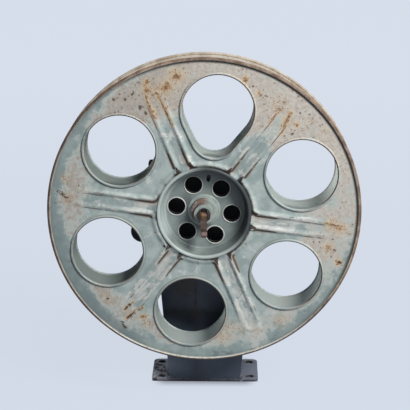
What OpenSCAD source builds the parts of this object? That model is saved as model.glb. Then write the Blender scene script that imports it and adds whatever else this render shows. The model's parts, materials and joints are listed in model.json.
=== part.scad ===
// Empty cine film reel of pressed steel, latched on the spindle of a hand-cranked rewind stand.
// Origin: centre of the base plate's underside. X to the right, Y away from the viewer, Z up.
// The reel faces the viewer and turns about an axis along Y. All sizes in millimetres and degrees.

/* [Flanges] */
// Diameter of each flange over its rolled rim
flange_d = 381; // [370:1:400]
// Clear width for the film between the flanges
film_gap = 39.5; // [36:0.5:46]
// Thickness of the pressed sheet
sheet_t = 1.2; // [1:0.1:1.6]
// Diameter of the wire-rolled rim
rim_roll_d = 4; // [3:0.5:5]
// Radius at which the hole centres lie
hole_pitch_r = 127.4; // [120:0.1:132]
// Clear diameter of a round hole
hole_d = 85; // [76:0.5:88]
// Diameter of the rolled lip around a hole
lip_roll_d = 4; // [3:0.5:5]
// Clear radius of the narrow end of the teardrop hole
tear_tip_r = 26; // [20:0.5:28]
// Distance of the narrow end's centre from the reel's axis
tear_tip_at = 96.5; // [94:0.5:104]
// Turn of the reel about its axis, counter-clockwise from the front
reel_turn = -7.5; // [-30:0.5:30]

/* [Pressed beads] */
// Half the distance between the two beads of a spoke
spoke_half = 8.75; // [7:0.25:10]
// Radius at which the spoke's bead closes near the rim
spoke_end_r = 165; // [150:1:172]
// Radius of the bead that runs round the hub between two spokes
hub_bead_r = 61; // [60:0.5:63]
// Radius of the bend where a spoke's bead turns along the hub
bead_bend_r = 6; // [4.5:0.5:9]
// Radius of a bead's round section
bead_r = 3.4; // [2.6:0.1:3.6]
// Height of a bead above the sheet
bead_h = 2.6; // [1.8:0.1:2.8]

/* [Hub] */
// Outer radius of the drum that carries the film
drum_r = 58.5; // [58:0.1:58.6]
// Wall of the drum
drum_t = 1.5; // [1:0.1:1.5]
// Width of the slot in the drum that grips the end of the film
film_slot_w = 3; // [2:0.5:5]
// Radius of the hub cup at its floor
cup_floor_r = 50; // [48:0.5:51]
// Radius of the hub cup at its mouth
cup_mouth_r = 54.5; // [53:0.5:54.5]
// Depth of the cup's floor below the flange
cup_depth = 16.5; // [12:0.5:17.5]
// Thickness of the cup's sheet
cup_t = 1.5; // [1.2:0.1:1.5]
// Radius of the bend between the cup's floor and wall
cup_bend_r = 4; // [3:0.5:6]
// Diameter of the rolled lip at the cup's mouth
cup_lip_d = 3; // [2.4:0.1:3]
// Number of round holes in the cup's floor
web_hole_n = 6; // [3:3:6]
// Diameter of a hole in the cup's floor
web_hole_d = 21; // [16:0.5:22]
// Radius at which these holes lie
web_pitch_r = 34.15; // [32:0.05:36]
// Inner end of the driving slot
dog_slot_in = 36; // [34:0.5:38]
// Outer end of the driving slot
dog_slot_out = 45.5; // [44:0.5:46]
// Width of the driving slot
dog_slot_w = 4.6; // [4:0.1:6]
// Outer radius of the hub sleeve
sleeve_r = 12; // [11:0.5:13]
// Length of the hub sleeve that stands out of each flange
sleeve_out = 5; // [3:0.5:7]
// Radius of the boss that holds the sleeve
boss_r = 16.3; // [15:0.1:17]
// Radius of the boss's foot on the cup's floor
boss_foot_r = 20; // [18.5:0.5:22]
// Thickness of the boss's foot
boss_foot_t = 2; // [1.5:0.5:3]
// Height of the boss above the cup's floor
boss_h = 9.5; // [7:0.5:12]

/* [Spindle] */
// Diameter of the spindle
spindle_d = 15.9; // [15:0.1:16.5]
// Length of the spindle in front of the sleeve
spindle_out = 8; // [7.5:0.5:12]
// Chamfer at the spindle's ends
spindle_chamfer = 1.2; // [0.5:0.1:2]
// Radius of the shoulder behind the driving plate
shoulder_r = 11; // [10:0.5:13]
// Radius of the driving plate
drive_plate_r = 47; // [46:0.5:50]
// Thickness of the driving plate
drive_plate_t = 5; // [4:0.5:7]
// Diameter of the driving dog
dog_d = 4.4; // [3.6:0.1:4.4]
// Length of the dog in front of the cup's floor
dog_out = 2; // [1:0.5:3]
// Width of the drop latch
latch_w = 7.8; // [7:0.1:8.4]
// Thickness of the drop latch
latch_t = 6; // [5:0.5:6.5]
// Length of the drop latch from its pivot to its tip
latch_len = 28; // [22:0.5:34]
// Radius of the latch's round head
latch_head_r = 3.9; // [3.4:0.1:4]
// Diameter of the latch's pin
latch_pin_d = 3.2; // [2.5:0.1:3.6]
// Distance of the latch's pin from the front of the sleeve
latch_pin_at = 3.8; // [3.6:0.1:4.4]

/* [Gears] */
// Module of both gears
gear_module = 1.5; // [1.4:0.05:1.5]
// Teeth of the pinion on the spindle
pinion_teeth = 17; // [17:1:18]
// Teeth of the wheel on the crank shaft
wheel_teeth = 68; // [64:1:68]
// Pressure angle
pressure_angle = 20; // [20:1:22]
// Thinning of each tooth, for free running
backlash = 0.16; // [0.1:0.02:0.24]
// Face width of the wheel
wheel_w = 12; // [8:0.5:12]
// Extra face width of the pinion
pinion_extra_w = 2; // [0:0.5:2]
// Length of the wheel's and the pinion's hubs
gear_hub_l = 9.5; // [8:0.5:10]
// Radius of the pinion's hub
pinion_hub_r = 10.4; // [10:0.1:10.6]
// Radius of the wheel's hub
wheel_hub_r = 14; // [12:0.5:16]
// Diameter of the lightening holes in the wheel
wheel_hole_d = 18; // [12:0.5:20]
// Number of lightening holes in the wheel
wheel_hole_n = 5; // [3:1:6]
// Diameter of the pinion's cross pin
pinion_pin_d = 3; // [2:0.5:4]
// Width of the wheel's key
key_w = 4; // [3:0.5:5]

/* [Stand] */
// Height of the reel's axis above the base
axis_h = 248; // [235:1:262]
// Width of the base plate
base_w = 140; // [132:1:160]
// Depth of the base plate
base_d = 68; // [66:1:80]
// Thickness of the base plate
base_t = 3.5; // [3:0.5:8]
// Corner radius of the base plate
base_corner_r = 7; // [2:0.5:10]
// Spacing of the base holes across the stand
base_hole_dx = 118; // [116:1:122]
// Spacing of the base holes from front to back
base_hole_dy = 48; // [40:1:50]
// Diameter of a base hole
base_hole_d = 10; // [6:0.5:11]
// Width of the pedestal at its foot
ped_foot_w = 93; // [88:1:96]
// Overhang of the pedestal's top past each side of the base plate
ped_overhang = 1.5; // [0:0.5:4]
// Height of the pedestal's front above the axis
ped_above = 52; // [40:1:60]
// Fall of the pedestal's top towards the back
ped_top_fall = 15.5; // [8:0.5:18]
// Corner radius of the pedestal's top
ped_corner_r = 6; // [3:0.5:10]
// Wall of the pedestal
ped_wall = 6; // [4:0.5:6.5]
// Thickness of the rear cover
cover_t = 6; // [4:0.5:7]
// Leg of the weld along the pedestal's foot
weld_leg = 4; // [2:0.5:5]
// Clear space between the reel and the pedestal
reel_clear = 22.1; // [21:0.1:26]
// Diameter of a cover screw's shank
screw_d = 5; // [4:0.5:6]
// Diameter of a cover screw's head
screw_head_d = 9; // [8:0.5:10]
// Height of a cover screw's head
screw_head_h = 3; // [2:0.5:4]
// Length of a cover screw's shank
screw_len = 20; // [14:1:22]
// Heights of the cover screws above the base
screw_heights = [30, 138, 264];
// Radius of the lugs that take the cover screws
lug_r = 6; // [5:0.5:7]

/* [Bearings] */
// Wall of the bearing bushes
bush_t = 4; // [3:0.5:5]
// Wall of the bearing housings around the bushes
housing_t = 5; // [4:0.5:6]
// Length of the front spindle bush behind the pedestal's face
spindle_bush_l = 20; // [16:0.5:20]
// Length of the front crank bush behind the pedestal's wall
crank_bush_l = 12; // [8:0.5:12]
// Length of the rear bearing housings
rear_housing_l = 12; // [10:0.5:12]
// Thickness of the front spindle bush's flange
bush_flange_t = 2.5; // [2:0.5:4]
// Overhang of the bushes' flanges
bush_flange_over = 3; // [2:0.5:4]

/* [Crank] */
// Diameter of the crank shaft
crank_shaft_d = 14; // [12:0.5:15]
// Radius of the collar on the crank shaft
crank_collar_r = 12; // [10:0.5:14]
// Distance from the crank shaft to the handle
crank_throw = 85; // [75:0.5:100]
// Radius of the arm's end at the handle
arm_end_r = 15; // [12:0.5:17]
// Radius of the arm's end at the shaft
arm_root_r = 16; // [14:0.5:18]
// Width of the arm between its ends
arm_w = 22; // [16:0.5:26]
// Thickness of the arm
arm_t = 8; // [6:0.5:10]
// Diameter of the threaded end of the crank shaft
crank_thread_d = 10; // [8:0.5:11]
// Height of the crank nut
crank_nut_h = 6; // [5:0.5:8]
// Width of the crank nut across its flats
crank_nut_af = 17; // [16:0.5:19]
// Diameter of the handle's stud
stud_d = 10; // [8:0.5:11]
// Radius of the stud's flange
stud_flange_r = 8; // [7:0.5:10]
// Thickness of the stud's flange
stud_flange_t = 2.5; // [2:0.5:4]
// Length of the hand grip
grip_l = 66; // [55:1:80]
// Radius of the grip at its ends
grip_end_r = 10.5; // [9:0.5:12]
// Radius of the grip at its fullest place
grip_full_r = 14; // [13:0.5:17]
// Radius of the cap screw's head that keeps the grip on
grip_cap_r = 7; // [6:0.5:8]
// Height of that head
grip_cap_h = 3.5; // [2:0.5:5]
// Diameter of the cap screw's shank
grip_screw_d = 5; // [4:0.5:6]
// Depth of the cap screw in the stud
grip_screw_l = 14; // [8:1:20]

/* [Fits] */
// Radial clearance of a turning shaft
run_fit = 0.05; // [0.02:0.01:0.08]
// Radial clearance of a seated piece
seat_fit = 0.02; // [0.01:0.01:0.04]
// Clear space between faces that turn past each other
face_gap = 0.3; // [0.2:0.05:0.5]
// Clear space between the crank arm and the heads of the cover screws
head_gap = 1; // [0.5:0.1:2]

/* [Hidden] */
$fn = 64;

// Overshoot of a cutting tool past the face that it cuts
over = 1;
spoke_n = 6;
spoke_step = 360 / spoke_n;

// Places along Y: the pedestal's faces, then the reel from back to front
ped_front = -base_d / 2;
cover_back = base_d / 2;
ped_back = cover_back - cover_t;
ped_inside = ped_front + ped_wall;
reel_y = ped_front - reel_clear - sheet_t - film_gap / 2;
flange_out = film_gap / 2 + sheet_t;
sleeve_end = flange_out + sleeve_out;
sleeve_back_y = reel_y + sleeve_end;
sleeve_front_y = reel_y - sleeve_end;
spindle_front_y = sleeve_front_y - spindle_out;
spindle_back_y = cover_back - face_gap;
plate_front_y = sleeve_back_y + face_gap;
plate_back_y = plate_front_y + drive_plate_t;
bush_flange_y = ped_front - bush_flange_t;
shoulder_back_y = bush_flange_y - face_gap;
latch_y = sleeve_front_y - latch_pin_at;

// Flange: how far a rolled edge dips below the sheet, and how much thinner a bead is at a joint
roll_sink = 0.3;
bend_ease = 0.06;
// Flange: rolled edges, the teardrop's tangents and the bead's bends
flange_r = flange_d / 2;
rim_roll_r = rim_roll_d / 2;
rim_path_r = flange_r - rim_roll_r;
lip_roll_r = lip_roll_d / 2;
hole_path_r = hole_d / 2 + lip_roll_r;
tear_path_r = tear_tip_r + lip_roll_r;
tear_lean = asin((hole_path_r - tear_path_r) / (hole_pitch_r - tear_tip_at));
bead_z = sheet_t + bead_h - bead_r;
groove_r = bead_r - sheet_t;
bend_across = spoke_half + bead_bend_r;
bend_reach = hub_bead_r + bead_bend_r;
bend_along = sqrt(pow(bend_reach, 2) - pow(bend_across, 2));
bend_angle = asin(bend_across / bend_reach);
spoke_close_at = spoke_end_r - bead_r - spoke_half;

// Hub cup: lean of its wall, its bend and its lip
cup_lip_r = cup_lip_d / 2;
cup_floor_z = flange_out - cup_depth;
cup_rim_z = flange_out + cup_lip_r + seat_fit;
cup_lean = atan((cup_mouth_r - cup_floor_r) / (cup_rim_z - cup_floor_z));
cup_bend_back = cup_bend_r / tan((90 + cup_lean) / 2);
cup_bend_at = [cup_floor_r - cup_bend_back, cup_floor_z + cup_bend_r];
cup_rim_out = cup_mouth_r + cup_t / cos(cup_lean);
flange_open_r = cup_rim_out + seat_fit;

// Spindle and latch
spindle_r = spindle_d / 2;
sleeve_bore_r = spindle_r + run_fit;
latch_slot_w = latch_w + 2 * face_gap;
latch_slot_y = latch_y + latch_head_r + face_gap;
latch_pin_r = latch_pin_d / 2;
latch_pin_l = sqrt(pow(spindle_d, 2) - pow(latch_pin_d, 2)) - face_gap;
dog_at = (dog_slot_in + dog_slot_out) / 2;
dog_front_y = reel_y + cup_floor_z - cup_t - dog_out;

// Gears
gear_centres = gear_module * (pinion_teeth + wheel_teeth) / 2;
crank_z = axis_h - gear_centres;
pinion_y = ped_front + spindle_bush_l + face_gap;
pinion_w = wheel_w + pinion_extra_w;
wheel_y = pinion_y + pinion_extra_w / 2;
pinion_pin_y = pinion_y + pinion_w + gear_hub_l / 2;
wheel_back_y = wheel_y + wheel_w + gear_hub_l;
wheel_root_r = gear_module * (wheel_teeth - 2.5) / 2;
wheel_hole_at = (wheel_root_r + wheel_hub_r) / 2;

// Bearings
housing_y = ped_back - rear_housing_l;
spindle_bush_r = spindle_r + run_fit + bush_t;
crank_shaft_r = crank_shaft_d / 2;
crank_bush_r = crank_shaft_r + run_fit + bush_t;
crank_shaft_y = ped_inside + face_gap;
collar_y = wheel_back_y;
collar_t = housing_y - face_gap - collar_y;

// Crank
arm_y = cover_back + screw_head_h + head_gap;
bush_back_y = arm_y - face_gap;
arm_back_y = arm_y + arm_t;
stud_flange_y = arm_back_y;
grip_y = stud_flange_y + stud_flange_t + face_gap;
stud_end_y = grip_y + grip_l + face_gap;
stud_r = stud_d / 2;

// Pedestal
ped_top = axis_h + ped_above;
ped_top_w = base_w + 2 * ped_overhang;
ped_lean = (ped_top_w - ped_foot_w) / 2 / (ped_top - base_t);
ped_lean_len = sqrt(1 + pow(ped_lean, 2));
ped_lean_angle = atan(ped_lean);

// Straight steps in each drawn arc of the teardrop opening
arc_steps = 24;

// Half the pedestal's width at a height, drawn in by an inset
function ped_half(z, inset = 0) = ped_foot_w / 2 + ped_lean * (z - base_t) - inset * ped_lean_len;

// Height of the pedestal's sloping top at a depth
function ped_roof(y) = ped_top - (y - ped_front) * tan(ped_top_fall);

// Points along an arc, from one angle to another
function arc(at, r, from, to, n = 6) =
    [for (i = [0 : n]) let (a = from + (to - from) * i / n) at + r * [cos(a), sin(a)]];

// Half the angle that an involute tooth fills at a radius
function involute(a) = tan(a) * 180 / PI - a;
function tooth_half(pitch_r, teeth, r) =
    (90 / teeth) - backlash / 2 / pitch_r * 180 / PI
    + involute(pressure_angle) - involute(acos(min(1, pitch_r * cos(pressure_angle) / r)));

// Outline of one tooth that points along an angle, from root to root
function tooth(teeth, at, steps = 4) =
    let (
        pitch_r = gear_module * teeth / 2,
        root_r = pitch_r - 1.25 * gear_module,
        tip_r = pitch_r + gear_module,
        start_r = max(root_r, pitch_r * cos(pressure_angle)),
        radii = [for (i = [0 : steps]) start_r + (tip_r - start_r) * i / steps],
        foot = tooth_half(pitch_r, teeth, start_r),
        deep = root_r < start_r
    )
    [
        if (deep) root_r * [cos(at - foot), sin(at - foot)],
        for (r = radii) let (a = at - tooth_half(pitch_r, teeth, r)) r * [cos(a), sin(a)],
        for (i = [steps : -1 : 0])
            let (r = radii[i], a = at + tooth_half(pitch_r, teeth, r)) r * [cos(a), sin(a)],
        if (deep) root_r * [cos(at + foot), sin(at + foot)]
    ];

// Outline of a gear whose first tooth points along an angle
function gear_outline(teeth, first) =
    [for (i = [0 : teeth - 1]) each tooth(teeth, first + 360 * i / teeth)];

// Places a shape whose own Z runs away from the viewer, starting at a depth
module turned(x, y, z) {
    translate([x, y, z]) rotate([-90, 0, 0]) children();
}

// Places a flat shape drawn as seen from the front, its back face at a depth
module faced(x, y, z) {
    translate([x, y, z]) rotate([90, 0, 0]) children();
}

// Places a shape drawn about the middle of the reel, its own Z towards the viewer
module in_reel() {
    faced(0, reel_y, axis_h) rotate([0, 0, reel_turn]) children();
}

// A solid or bored cylinder along Y between two depths
module rod(r, y0, y1, z = axis_h, x = 0) {
    turned(x, y0, z) cylinder(r = r, h = y1 - y0);
}

module tube(r, bore_r, y0, y1, z = axis_h, x = 0) {
    difference() {
        rod(r, y0, y1, z, x);
        rod(bore_r, y0 - over, y1 + over, z, x);
    }
}

// A round wire along part of a circle, and along a straight line
module wire_arc(path_r, r, from, sweep) {
    rotate([0, 0, from]) rotate_extrude(angle = sweep) translate([path_r, 0]) circle(r);
}

module wire_line(from, to, r) {
    reach = to - from;
    translate([from[0], from[1], 0])
        rotate([0, 0, atan2(reach[1], reach[0])])
        rotate([0, 90, 0])
        cylinder(r = r, h = norm(reach));
}

// The bead of one spoke and of the hub's side as far as the next spoke
module bead_run(r) {
    for (side = [-1, 1]) {
        wire_line([bend_along, side * spoke_half], [spoke_close_at, side * spoke_half], r);
    }
    translate([spoke_close_at, 0, 0]) wire_arc(spoke_half, r - bend_ease, -90, 180);
    wire_arc(hub_bead_r, r, bend_angle, spoke_step - 2 * bend_angle);
    bead_bend(r - bend_ease);
    rotate([0, 0, spoke_step]) mirror([0, 1, 0]) bead_bend(r - bend_ease);
}

module bead_bend(r) {
    translate([bend_along, bend_across, 0]) wire_arc(bead_bend_r, r, 180 + bend_angle, 90 - bend_angle);
}

module beads(r) {
    translate([0, 0, bead_z]) for (i = [0 : spoke_n - 1]) rotate([0, 0, i * spoke_step]) bead_run(r);
}

// Opening and rolled lip of the teardrop hole, which lies along the flange's Y
module tear_opening() {
    polygon(concat(
        arc([0, hole_pitch_r], hole_path_r, -tear_lean, 180 + tear_lean, arc_steps),
        arc([0, tear_tip_at], tear_path_r, 180 + tear_lean, 360 - tear_lean, arc_steps)
    ));
}

module tear_lip() {
    side = [cos(tear_lean), -sin(tear_lean)];
    wide = [0, hole_pitch_r] + hole_path_r * side;
    narrow = [0, tear_tip_at] + tear_path_r * side;
    translate([0, hole_pitch_r, 0]) wire_arc(hole_path_r, lip_roll_r, -tear_lean, 180 + 2 * tear_lean);
    translate([0, tear_tip_at, 0]) wire_arc(tear_path_r, lip_roll_r, 180 + tear_lean, 180 - 2 * tear_lean);
    wire_line(narrow, wide, lip_roll_r - bend_ease);
    wire_line([-narrow[0], narrow[1]], [-wide[0], wide[1]], lip_roll_r - bend_ease);
}

// Round holes lie midway between the spokes, all but the one the teardrop takes
module at_round_holes() {
    for (i = [0 : spoke_n - 1]) {
        if (i != 1) {
            rotate([0, 0, (i + 0.5) * spoke_step]) translate([hole_pitch_r, 0, 0]) children();
        }
    }
}

// Flat sheet of a flange with its openings
module flange_sheet() {
    linear_extrude(sheet_t) difference() {
        circle(rim_path_r);
        circle(flange_open_r);
        at_round_holes() circle(hole_path_r);
        tear_opening();
    }
}

// A flange with its inner face at Z = 0 and its beads and rolls towards +Z
module flange() {
    difference() {
        union() {
            flange_sheet();
            translate([0, 0, rim_roll_r - roll_sink]) wire_arc(rim_path_r, rim_roll_r, 0, 360);
            translate([0, 0, lip_roll_r - roll_sink]) {
                at_round_holes() wire_arc(hole_path_r, lip_roll_r, 0, 360);
                tear_lip();
            }
            intersection() {
                beads(bead_r);
                cylinder(r = spoke_end_r + over, h = bead_z + bead_r + over);
            }
        }
        beads(groove_r);
    }
}

module front_flange() {
    color([0.66, 0.70, 0.68]) in_reel() translate([0, 0, film_gap / 2]) flange();
}

module rear_flange() {
    color([0.60, 0.64, 0.61]) in_reel() mirror([0, 0, 1]) translate([0, 0, film_gap / 2]) flange();
}

// Drum between the flanges, slit for the end of the film
module hub_drum() {
    color([0.55, 0.58, 0.56]) in_reel() difference() {
        translate([0, 0, -film_gap / 2]) cylinder(r = drum_r, h = film_gap);
        translate([0, 0, -film_gap / 2 - over]) cylinder(r = drum_r - drum_t, h = film_gap + 2 * over);
        translate([0, -film_slot_w / 2, -film_gap / 2 - over])
            cube([drum_r + over, film_slot_w, film_gap + 2 * over]);
    }
}

// Half section of a hub cup, from the sleeve out to the rolled lip
module cup_section() {
    bore = sleeve_r + seat_fit;
    end = 360 - cup_lean;
    lip_at = [cup_mouth_r + cup_lip_r, cup_rim_z];
    lip_root = [cup_rim_out - cup_lip_r * tan(cup_lean), cup_rim_z - cup_lip_r];
    polygon(concat(
        [[bore, cup_floor_z]],
        arc(cup_bend_at, cup_bend_r, 270, end),
        arc(lip_at, cup_lip_r, 180, -90, 9),
        [lip_root],
        arc(cup_bend_at, cup_bend_r + cup_t, end, 270),
        [[bore, cup_floor_z - cup_t]]
    ));
}

module hub_cup() {
    cut_z = cup_floor_z - cup_t - over;
    cut_h = cup_t + 2 * over;
    difference() {
        rotate_extrude() cup_section();
        for (i = [0 : web_hole_n - 1]) {
            rotate([0, 0, i * 360 / web_hole_n])
                translate([web_pitch_r, 0, cut_z])
                cylinder(d = web_hole_d, h = cut_h);
        }
        translate([0, 0, cut_z]) linear_extrude(cut_h) dog_slot();
    }
}

// Round-ended slot that the driving dog enters, towards the teardrop hole
module dog_slot() {
    inner = dog_slot_in + dog_slot_w / 2;
    outer = dog_slot_out - dog_slot_w / 2;
    translate([0, inner]) circle(d = dog_slot_w);
    translate([0, outer]) circle(d = dog_slot_w);
    translate([-dog_slot_w / 2, inner]) square([dog_slot_w, outer - inner]);
}

module front_hub_cup() {
    color([0.58, 0.61, 0.60]) in_reel() hub_cup();
}

module rear_hub_cup() {
    color([0.55, 0.58, 0.57]) in_reel() mirror([0, 0, 1]) hub_cup();
}

module hub_sleeve() {
    color([0.50, 0.47, 0.44]) tube(sleeve_r, sleeve_bore_r, sleeve_front_y, sleeve_back_y);
}

// Stepped collar that fastens the sleeve to a cup's floor
module boss() {
    bore = sleeve_r + seat_fit;
    top = cup_floor_z + boss_h;
    foot = cup_floor_z + boss_foot_t;
    bevel = boss_foot_t / 2;
    rotate_extrude() polygon([
        [bore, cup_floor_z], [boss_foot_r, cup_floor_z], [boss_foot_r, foot - bevel],
        [boss_foot_r - bevel, foot], [boss_r, foot], [boss_r, top - bevel],
        [boss_r - bevel, top], [bore, top]
    ]);
}

module front_boss() {
    color([0.56, 0.58, 0.57]) in_reel() boss();
}

module rear_boss() {
    color([0.56, 0.58, 0.57]) in_reel() mirror([0, 0, 1]) boss();
}

// Spindle: journal for the reel, shoulder, and journal through the pedestal
module spindle() {
    chamfer_r = spindle_r - spindle_chamfer;
    length = spindle_back_y - spindle_front_y;
    shoulder_from = plate_back_y - spindle_front_y;
    shoulder_to = shoulder_back_y - spindle_front_y;
    color([0.36, 0.30, 0.26]) difference() {
        turned(0, spindle_front_y, axis_h) rotate_extrude() polygon([
            [0, 0], [chamfer_r, 0], [spindle_r, spindle_chamfer],
            [spindle_r, shoulder_from], [shoulder_r, shoulder_from],
            [shoulder_r, shoulder_to], [spindle_r, shoulder_to],
            [spindle_r, length - spindle_chamfer], [chamfer_r, length], [0, length]
        ]);
        translate([-latch_slot_w / 2, spindle_front_y - over, axis_h - spindle_d])
            cube([latch_slot_w, latch_slot_y - spindle_front_y + over, 2 * spindle_d]);
        cross_hole(latch_pin_r + seat_fit, latch_y);
        cross_hole(pinion_pin_d / 2 + seat_fit, pinion_pin_y);
    }
}

// Hole from side to side through the spindle's axis
module cross_hole(r, y) {
    translate([-2 * spindle_d, y, axis_h]) rotate([0, 90, 0]) cylinder(r = r, h = 4 * spindle_d);
}

module latch_pin() {
    color([0.45, 0.42, 0.40])
        translate([-latch_pin_l / 2, latch_y, axis_h])
        rotate([0, 90, 0])
        cylinder(r = latch_pin_r, h = latch_pin_l);
}

// Drop latch: a flat bar with a round head on the pin and a rounded tip
module spindle_latch() {
    tip_r = latch_w / 2;
    tip_z = axis_h - latch_len;
    toe_r = latch_t / 2;
    color([0.33, 0.26, 0.21]) difference() {
        intersection() {
            translate([-latch_w / 2, 0, 0]) rotate([90, 0, 90]) linear_extrude(latch_w) union() {
                translate([latch_y, axis_h]) circle(latch_head_r);
                translate([latch_y - latch_t / 2, tip_z + toe_r]) square([latch_t, latch_len - toe_r]);
                translate([latch_y, tip_z + toe_r]) circle(toe_r);
            }
            faced(0, latch_y + 2 * latch_head_r, 0) linear_extrude(4 * latch_head_r) union() {
                translate([0, tip_z + tip_r]) circle(tip_r);
                translate([-latch_w / 2, tip_z + tip_r]) square([latch_w, latch_len]);
            }
        }
        cross_hole(latch_pin_r + run_fit, latch_y);
    }
}

module drive_plate() {
    rim = drive_plate_t / 4;
    color([0.25, 0.26, 0.28]) difference() {
        turned(0, plate_front_y, axis_h) rotate_extrude() polygon([
            [spindle_r + seat_fit, 0], [drive_plate_r - rim, 0], [drive_plate_r, rim],
            [drive_plate_r, drive_plate_t - rim], [drive_plate_r - rim, drive_plate_t],
            [spindle_r + seat_fit, drive_plate_t]
        ]);
        at_dog() rod(dog_d / 2 + seat_fit, plate_front_y - over, plate_back_y + over);
    }
}

// Places a shape on the reel's axis at the driving slot
module at_dog() {
    translate(dog_at * [-sin(reel_turn), 0, cos(reel_turn)]) children();
}

module drive_dog() {
    color([0.42, 0.40, 0.38]) at_dog() rod(dog_d / 2, dog_front_y, plate_back_y);
}

// Pinion with one tooth pointing down at the wheel
module pinion() {
    color([0.50, 0.47, 0.40]) difference() {
        union() {
            faced(0, pinion_y + pinion_w, axis_h)
                linear_extrude(pinion_w)
                polygon(gear_outline(pinion_teeth, -90));
            rod(pinion_hub_r, pinion_y + pinion_w, pinion_y + pinion_w + gear_hub_l);
        }
        rod(spindle_r + seat_fit, pinion_y - over, pinion_y + pinion_w + gear_hub_l + over);
        cross_hole(pinion_pin_d / 2 + seat_fit, pinion_pin_y);
    }
}

module pinion_pin() {
    pin_l = 2 * pinion_hub_r - face_gap;
    color([0.55, 0.53, 0.50])
        translate([-pin_l / 2, pinion_pin_y, axis_h])
        rotate([0, 90, 0])
        cylinder(d = pinion_pin_d, h = pin_l);
}

// Rounded base plate with its four holes
module base_plate() {
    half = [base_w / 2 - base_corner_r, base_d / 2 - base_corner_r];
    color([0.24, 0.25, 0.28]) linear_extrude(base_t) difference() {
        union() {
            square([base_w, base_d - 2 * base_corner_r], center = true);
            square([base_w - 2 * base_corner_r, base_d], center = true);
            for (x = [-1, 1], y = [-1, 1]) translate([x * half[0], y * half[1]]) circle(base_corner_r);
        }
        for (x = [-1, 1], y = [-1, 1]) {
            translate([x * base_hole_dx / 2, y * base_hole_dy / 2]) circle(d = base_hole_d);
        }
    }
}

// Front outline of the pedestal, drawn in by an inset, with rounded upper corners
module ped_outline(inset, top) {
    r = max(ped_corner_r - inset, 1);
    corner_z = top - r;
    corner_x = ped_half(corner_z, inset) - r * ped_lean_len;
    half = ped_half(base_t, inset);
    polygon(concat(
        [[-half, base_t], [half, base_t]],
        arc([corner_x, corner_z], r, -ped_lean_angle, 90),
        arc([-corner_x, corner_z], r, 90, 180 + ped_lean_angle)
    ));
}

// Block with the pedestal's outline between two depths, under the sloping top
module ped_block(inset, y0, y1) {
    intersection() {
        faced(0, y1, 0) linear_extrude(y1 - y0) ped_outline(inset, ped_top - inset);
        translate([-ped_top_w, 0, 0]) rotate([90, 0, 90]) linear_extrude(2 * ped_top_w) polygon([
            [y0 - over, 0], [y1 + over, 0],
            [y1 + over, ped_roof(y1 + over) - inset], [y0 - over, ped_roof(y0 - over) - inset]
        ]);
    }
}

// Places a shape at each cover screw
module at_screws() {
    for (z = screw_heights, side = [-1, 1]) {
        translate([side * (ped_half(z, ped_wall) - lug_r / 2), 0, z]) children();
    }
}

// Hollow tapered pedestal, open at the back, with bearing housings and screw lugs inside
module pedestal() {
    spindle_seat_r = spindle_bush_r + seat_fit;
    crank_seat_r = crank_bush_r + seat_fit;
    color([0.22, 0.24, 0.28]) difference() {
        union() {
            difference() {
                ped_block(0, ped_front, ped_back);
                ped_block(ped_wall, ped_inside, ped_back + over);
                translate([0, 0, -over]) ped_block_floor();
            }
            rod(spindle_seat_r + housing_t, ped_inside - over, ped_front + spindle_bush_l);
            rod(crank_seat_r + housing_t, ped_inside - over, ped_inside + crank_bush_l, crank_z);
            intersection() {
                at_screws() rod(lug_r, ped_back - screw_len, ped_back, 0);
                ped_block(over, ped_inside, ped_back + over);
            }
            for (side = [-1, 1]) foot_weld(side);
        }
        rod(spindle_seat_r, ped_front - over, ped_front + spindle_bush_l + over);
        rod(crank_seat_r, ped_inside, ped_inside + crank_bush_l + over, crank_z);
        at_screws() rod(screw_d / 2 + seat_fit, ped_back - screw_len, ped_back + over, 0);
    }
}

// Opens the pedestal's foot onto the base plate
module ped_block_floor() {
    half = ped_half(base_t, ped_wall);
    translate([-half, ped_inside, base_t]) cube([2 * half, ped_back - ped_inside + over, 2 * over]);
}

// Weld between the pedestal's side and the base plate
module foot_weld(side) {
    root = ped_half(base_t) - over;
    tip = ped_half(base_t) + weld_leg;
    faced(0, ped_back, 0) linear_extrude(ped_back - ped_front) polygon([
        [side * root, base_t], [side * tip, base_t],
        [side * (ped_half(base_t + weld_leg) - over / 2), base_t + weld_leg]
    ]);
}

// Rear cover with the rear bearing housings
module rear_cover() {
    spindle_seat_r = spindle_bush_r + seat_fit;
    crank_seat_r = crank_bush_r + seat_fit;
    color([0.23, 0.25, 0.29]) difference() {
        union() {
            ped_block(0, ped_back, cover_back);
            rod(spindle_seat_r + housing_t, housing_y, ped_back + over);
            rod(crank_seat_r + housing_t, housing_y, ped_back + over, crank_z);
        }
        rod(spindle_seat_r, housing_y - over, cover_back + over);
        rod(crank_seat_r, housing_y - over, cover_back + over, crank_z);
        at_screws() rod(screw_d / 2 + seat_fit, ped_back - over, cover_back + over, 0);
    }
}

// Slotted screws that hold the rear cover
module cover_screws() {
    slot_w = screw_head_h / 3;
    head_y = cover_back + screw_head_h;
    color([0.40, 0.40, 0.42]) at_screws() difference() {
        union() {
            rod(screw_d / 2, cover_back - screw_len, cover_back + over, 0);
            rod(screw_head_d / 2, cover_back, head_y, 0);
        }
        translate([-screw_head_d, head_y - slot_w, -slot_w / 2])
            cube([2 * screw_head_d, slot_w + over, slot_w]);
    }
}

// Flanged bush of the spindle in the pedestal's front wall
module front_spindle_bush() {
    bore_r = spindle_r + run_fit;
    color([0.62, 0.50, 0.28]) difference() {
        union() {
            rod(spindle_bush_r, ped_front, ped_front + spindle_bush_l);
            rod(spindle_bush_r + bush_flange_over, bush_flange_y, ped_front);
        }
        rod(bore_r, bush_flange_y - over, ped_front + spindle_bush_l + over);
    }
}

module rear_spindle_bush() {
    color([0.62, 0.50, 0.28]) tube(spindle_bush_r, spindle_r + run_fit, housing_y, cover_back);
}

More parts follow.
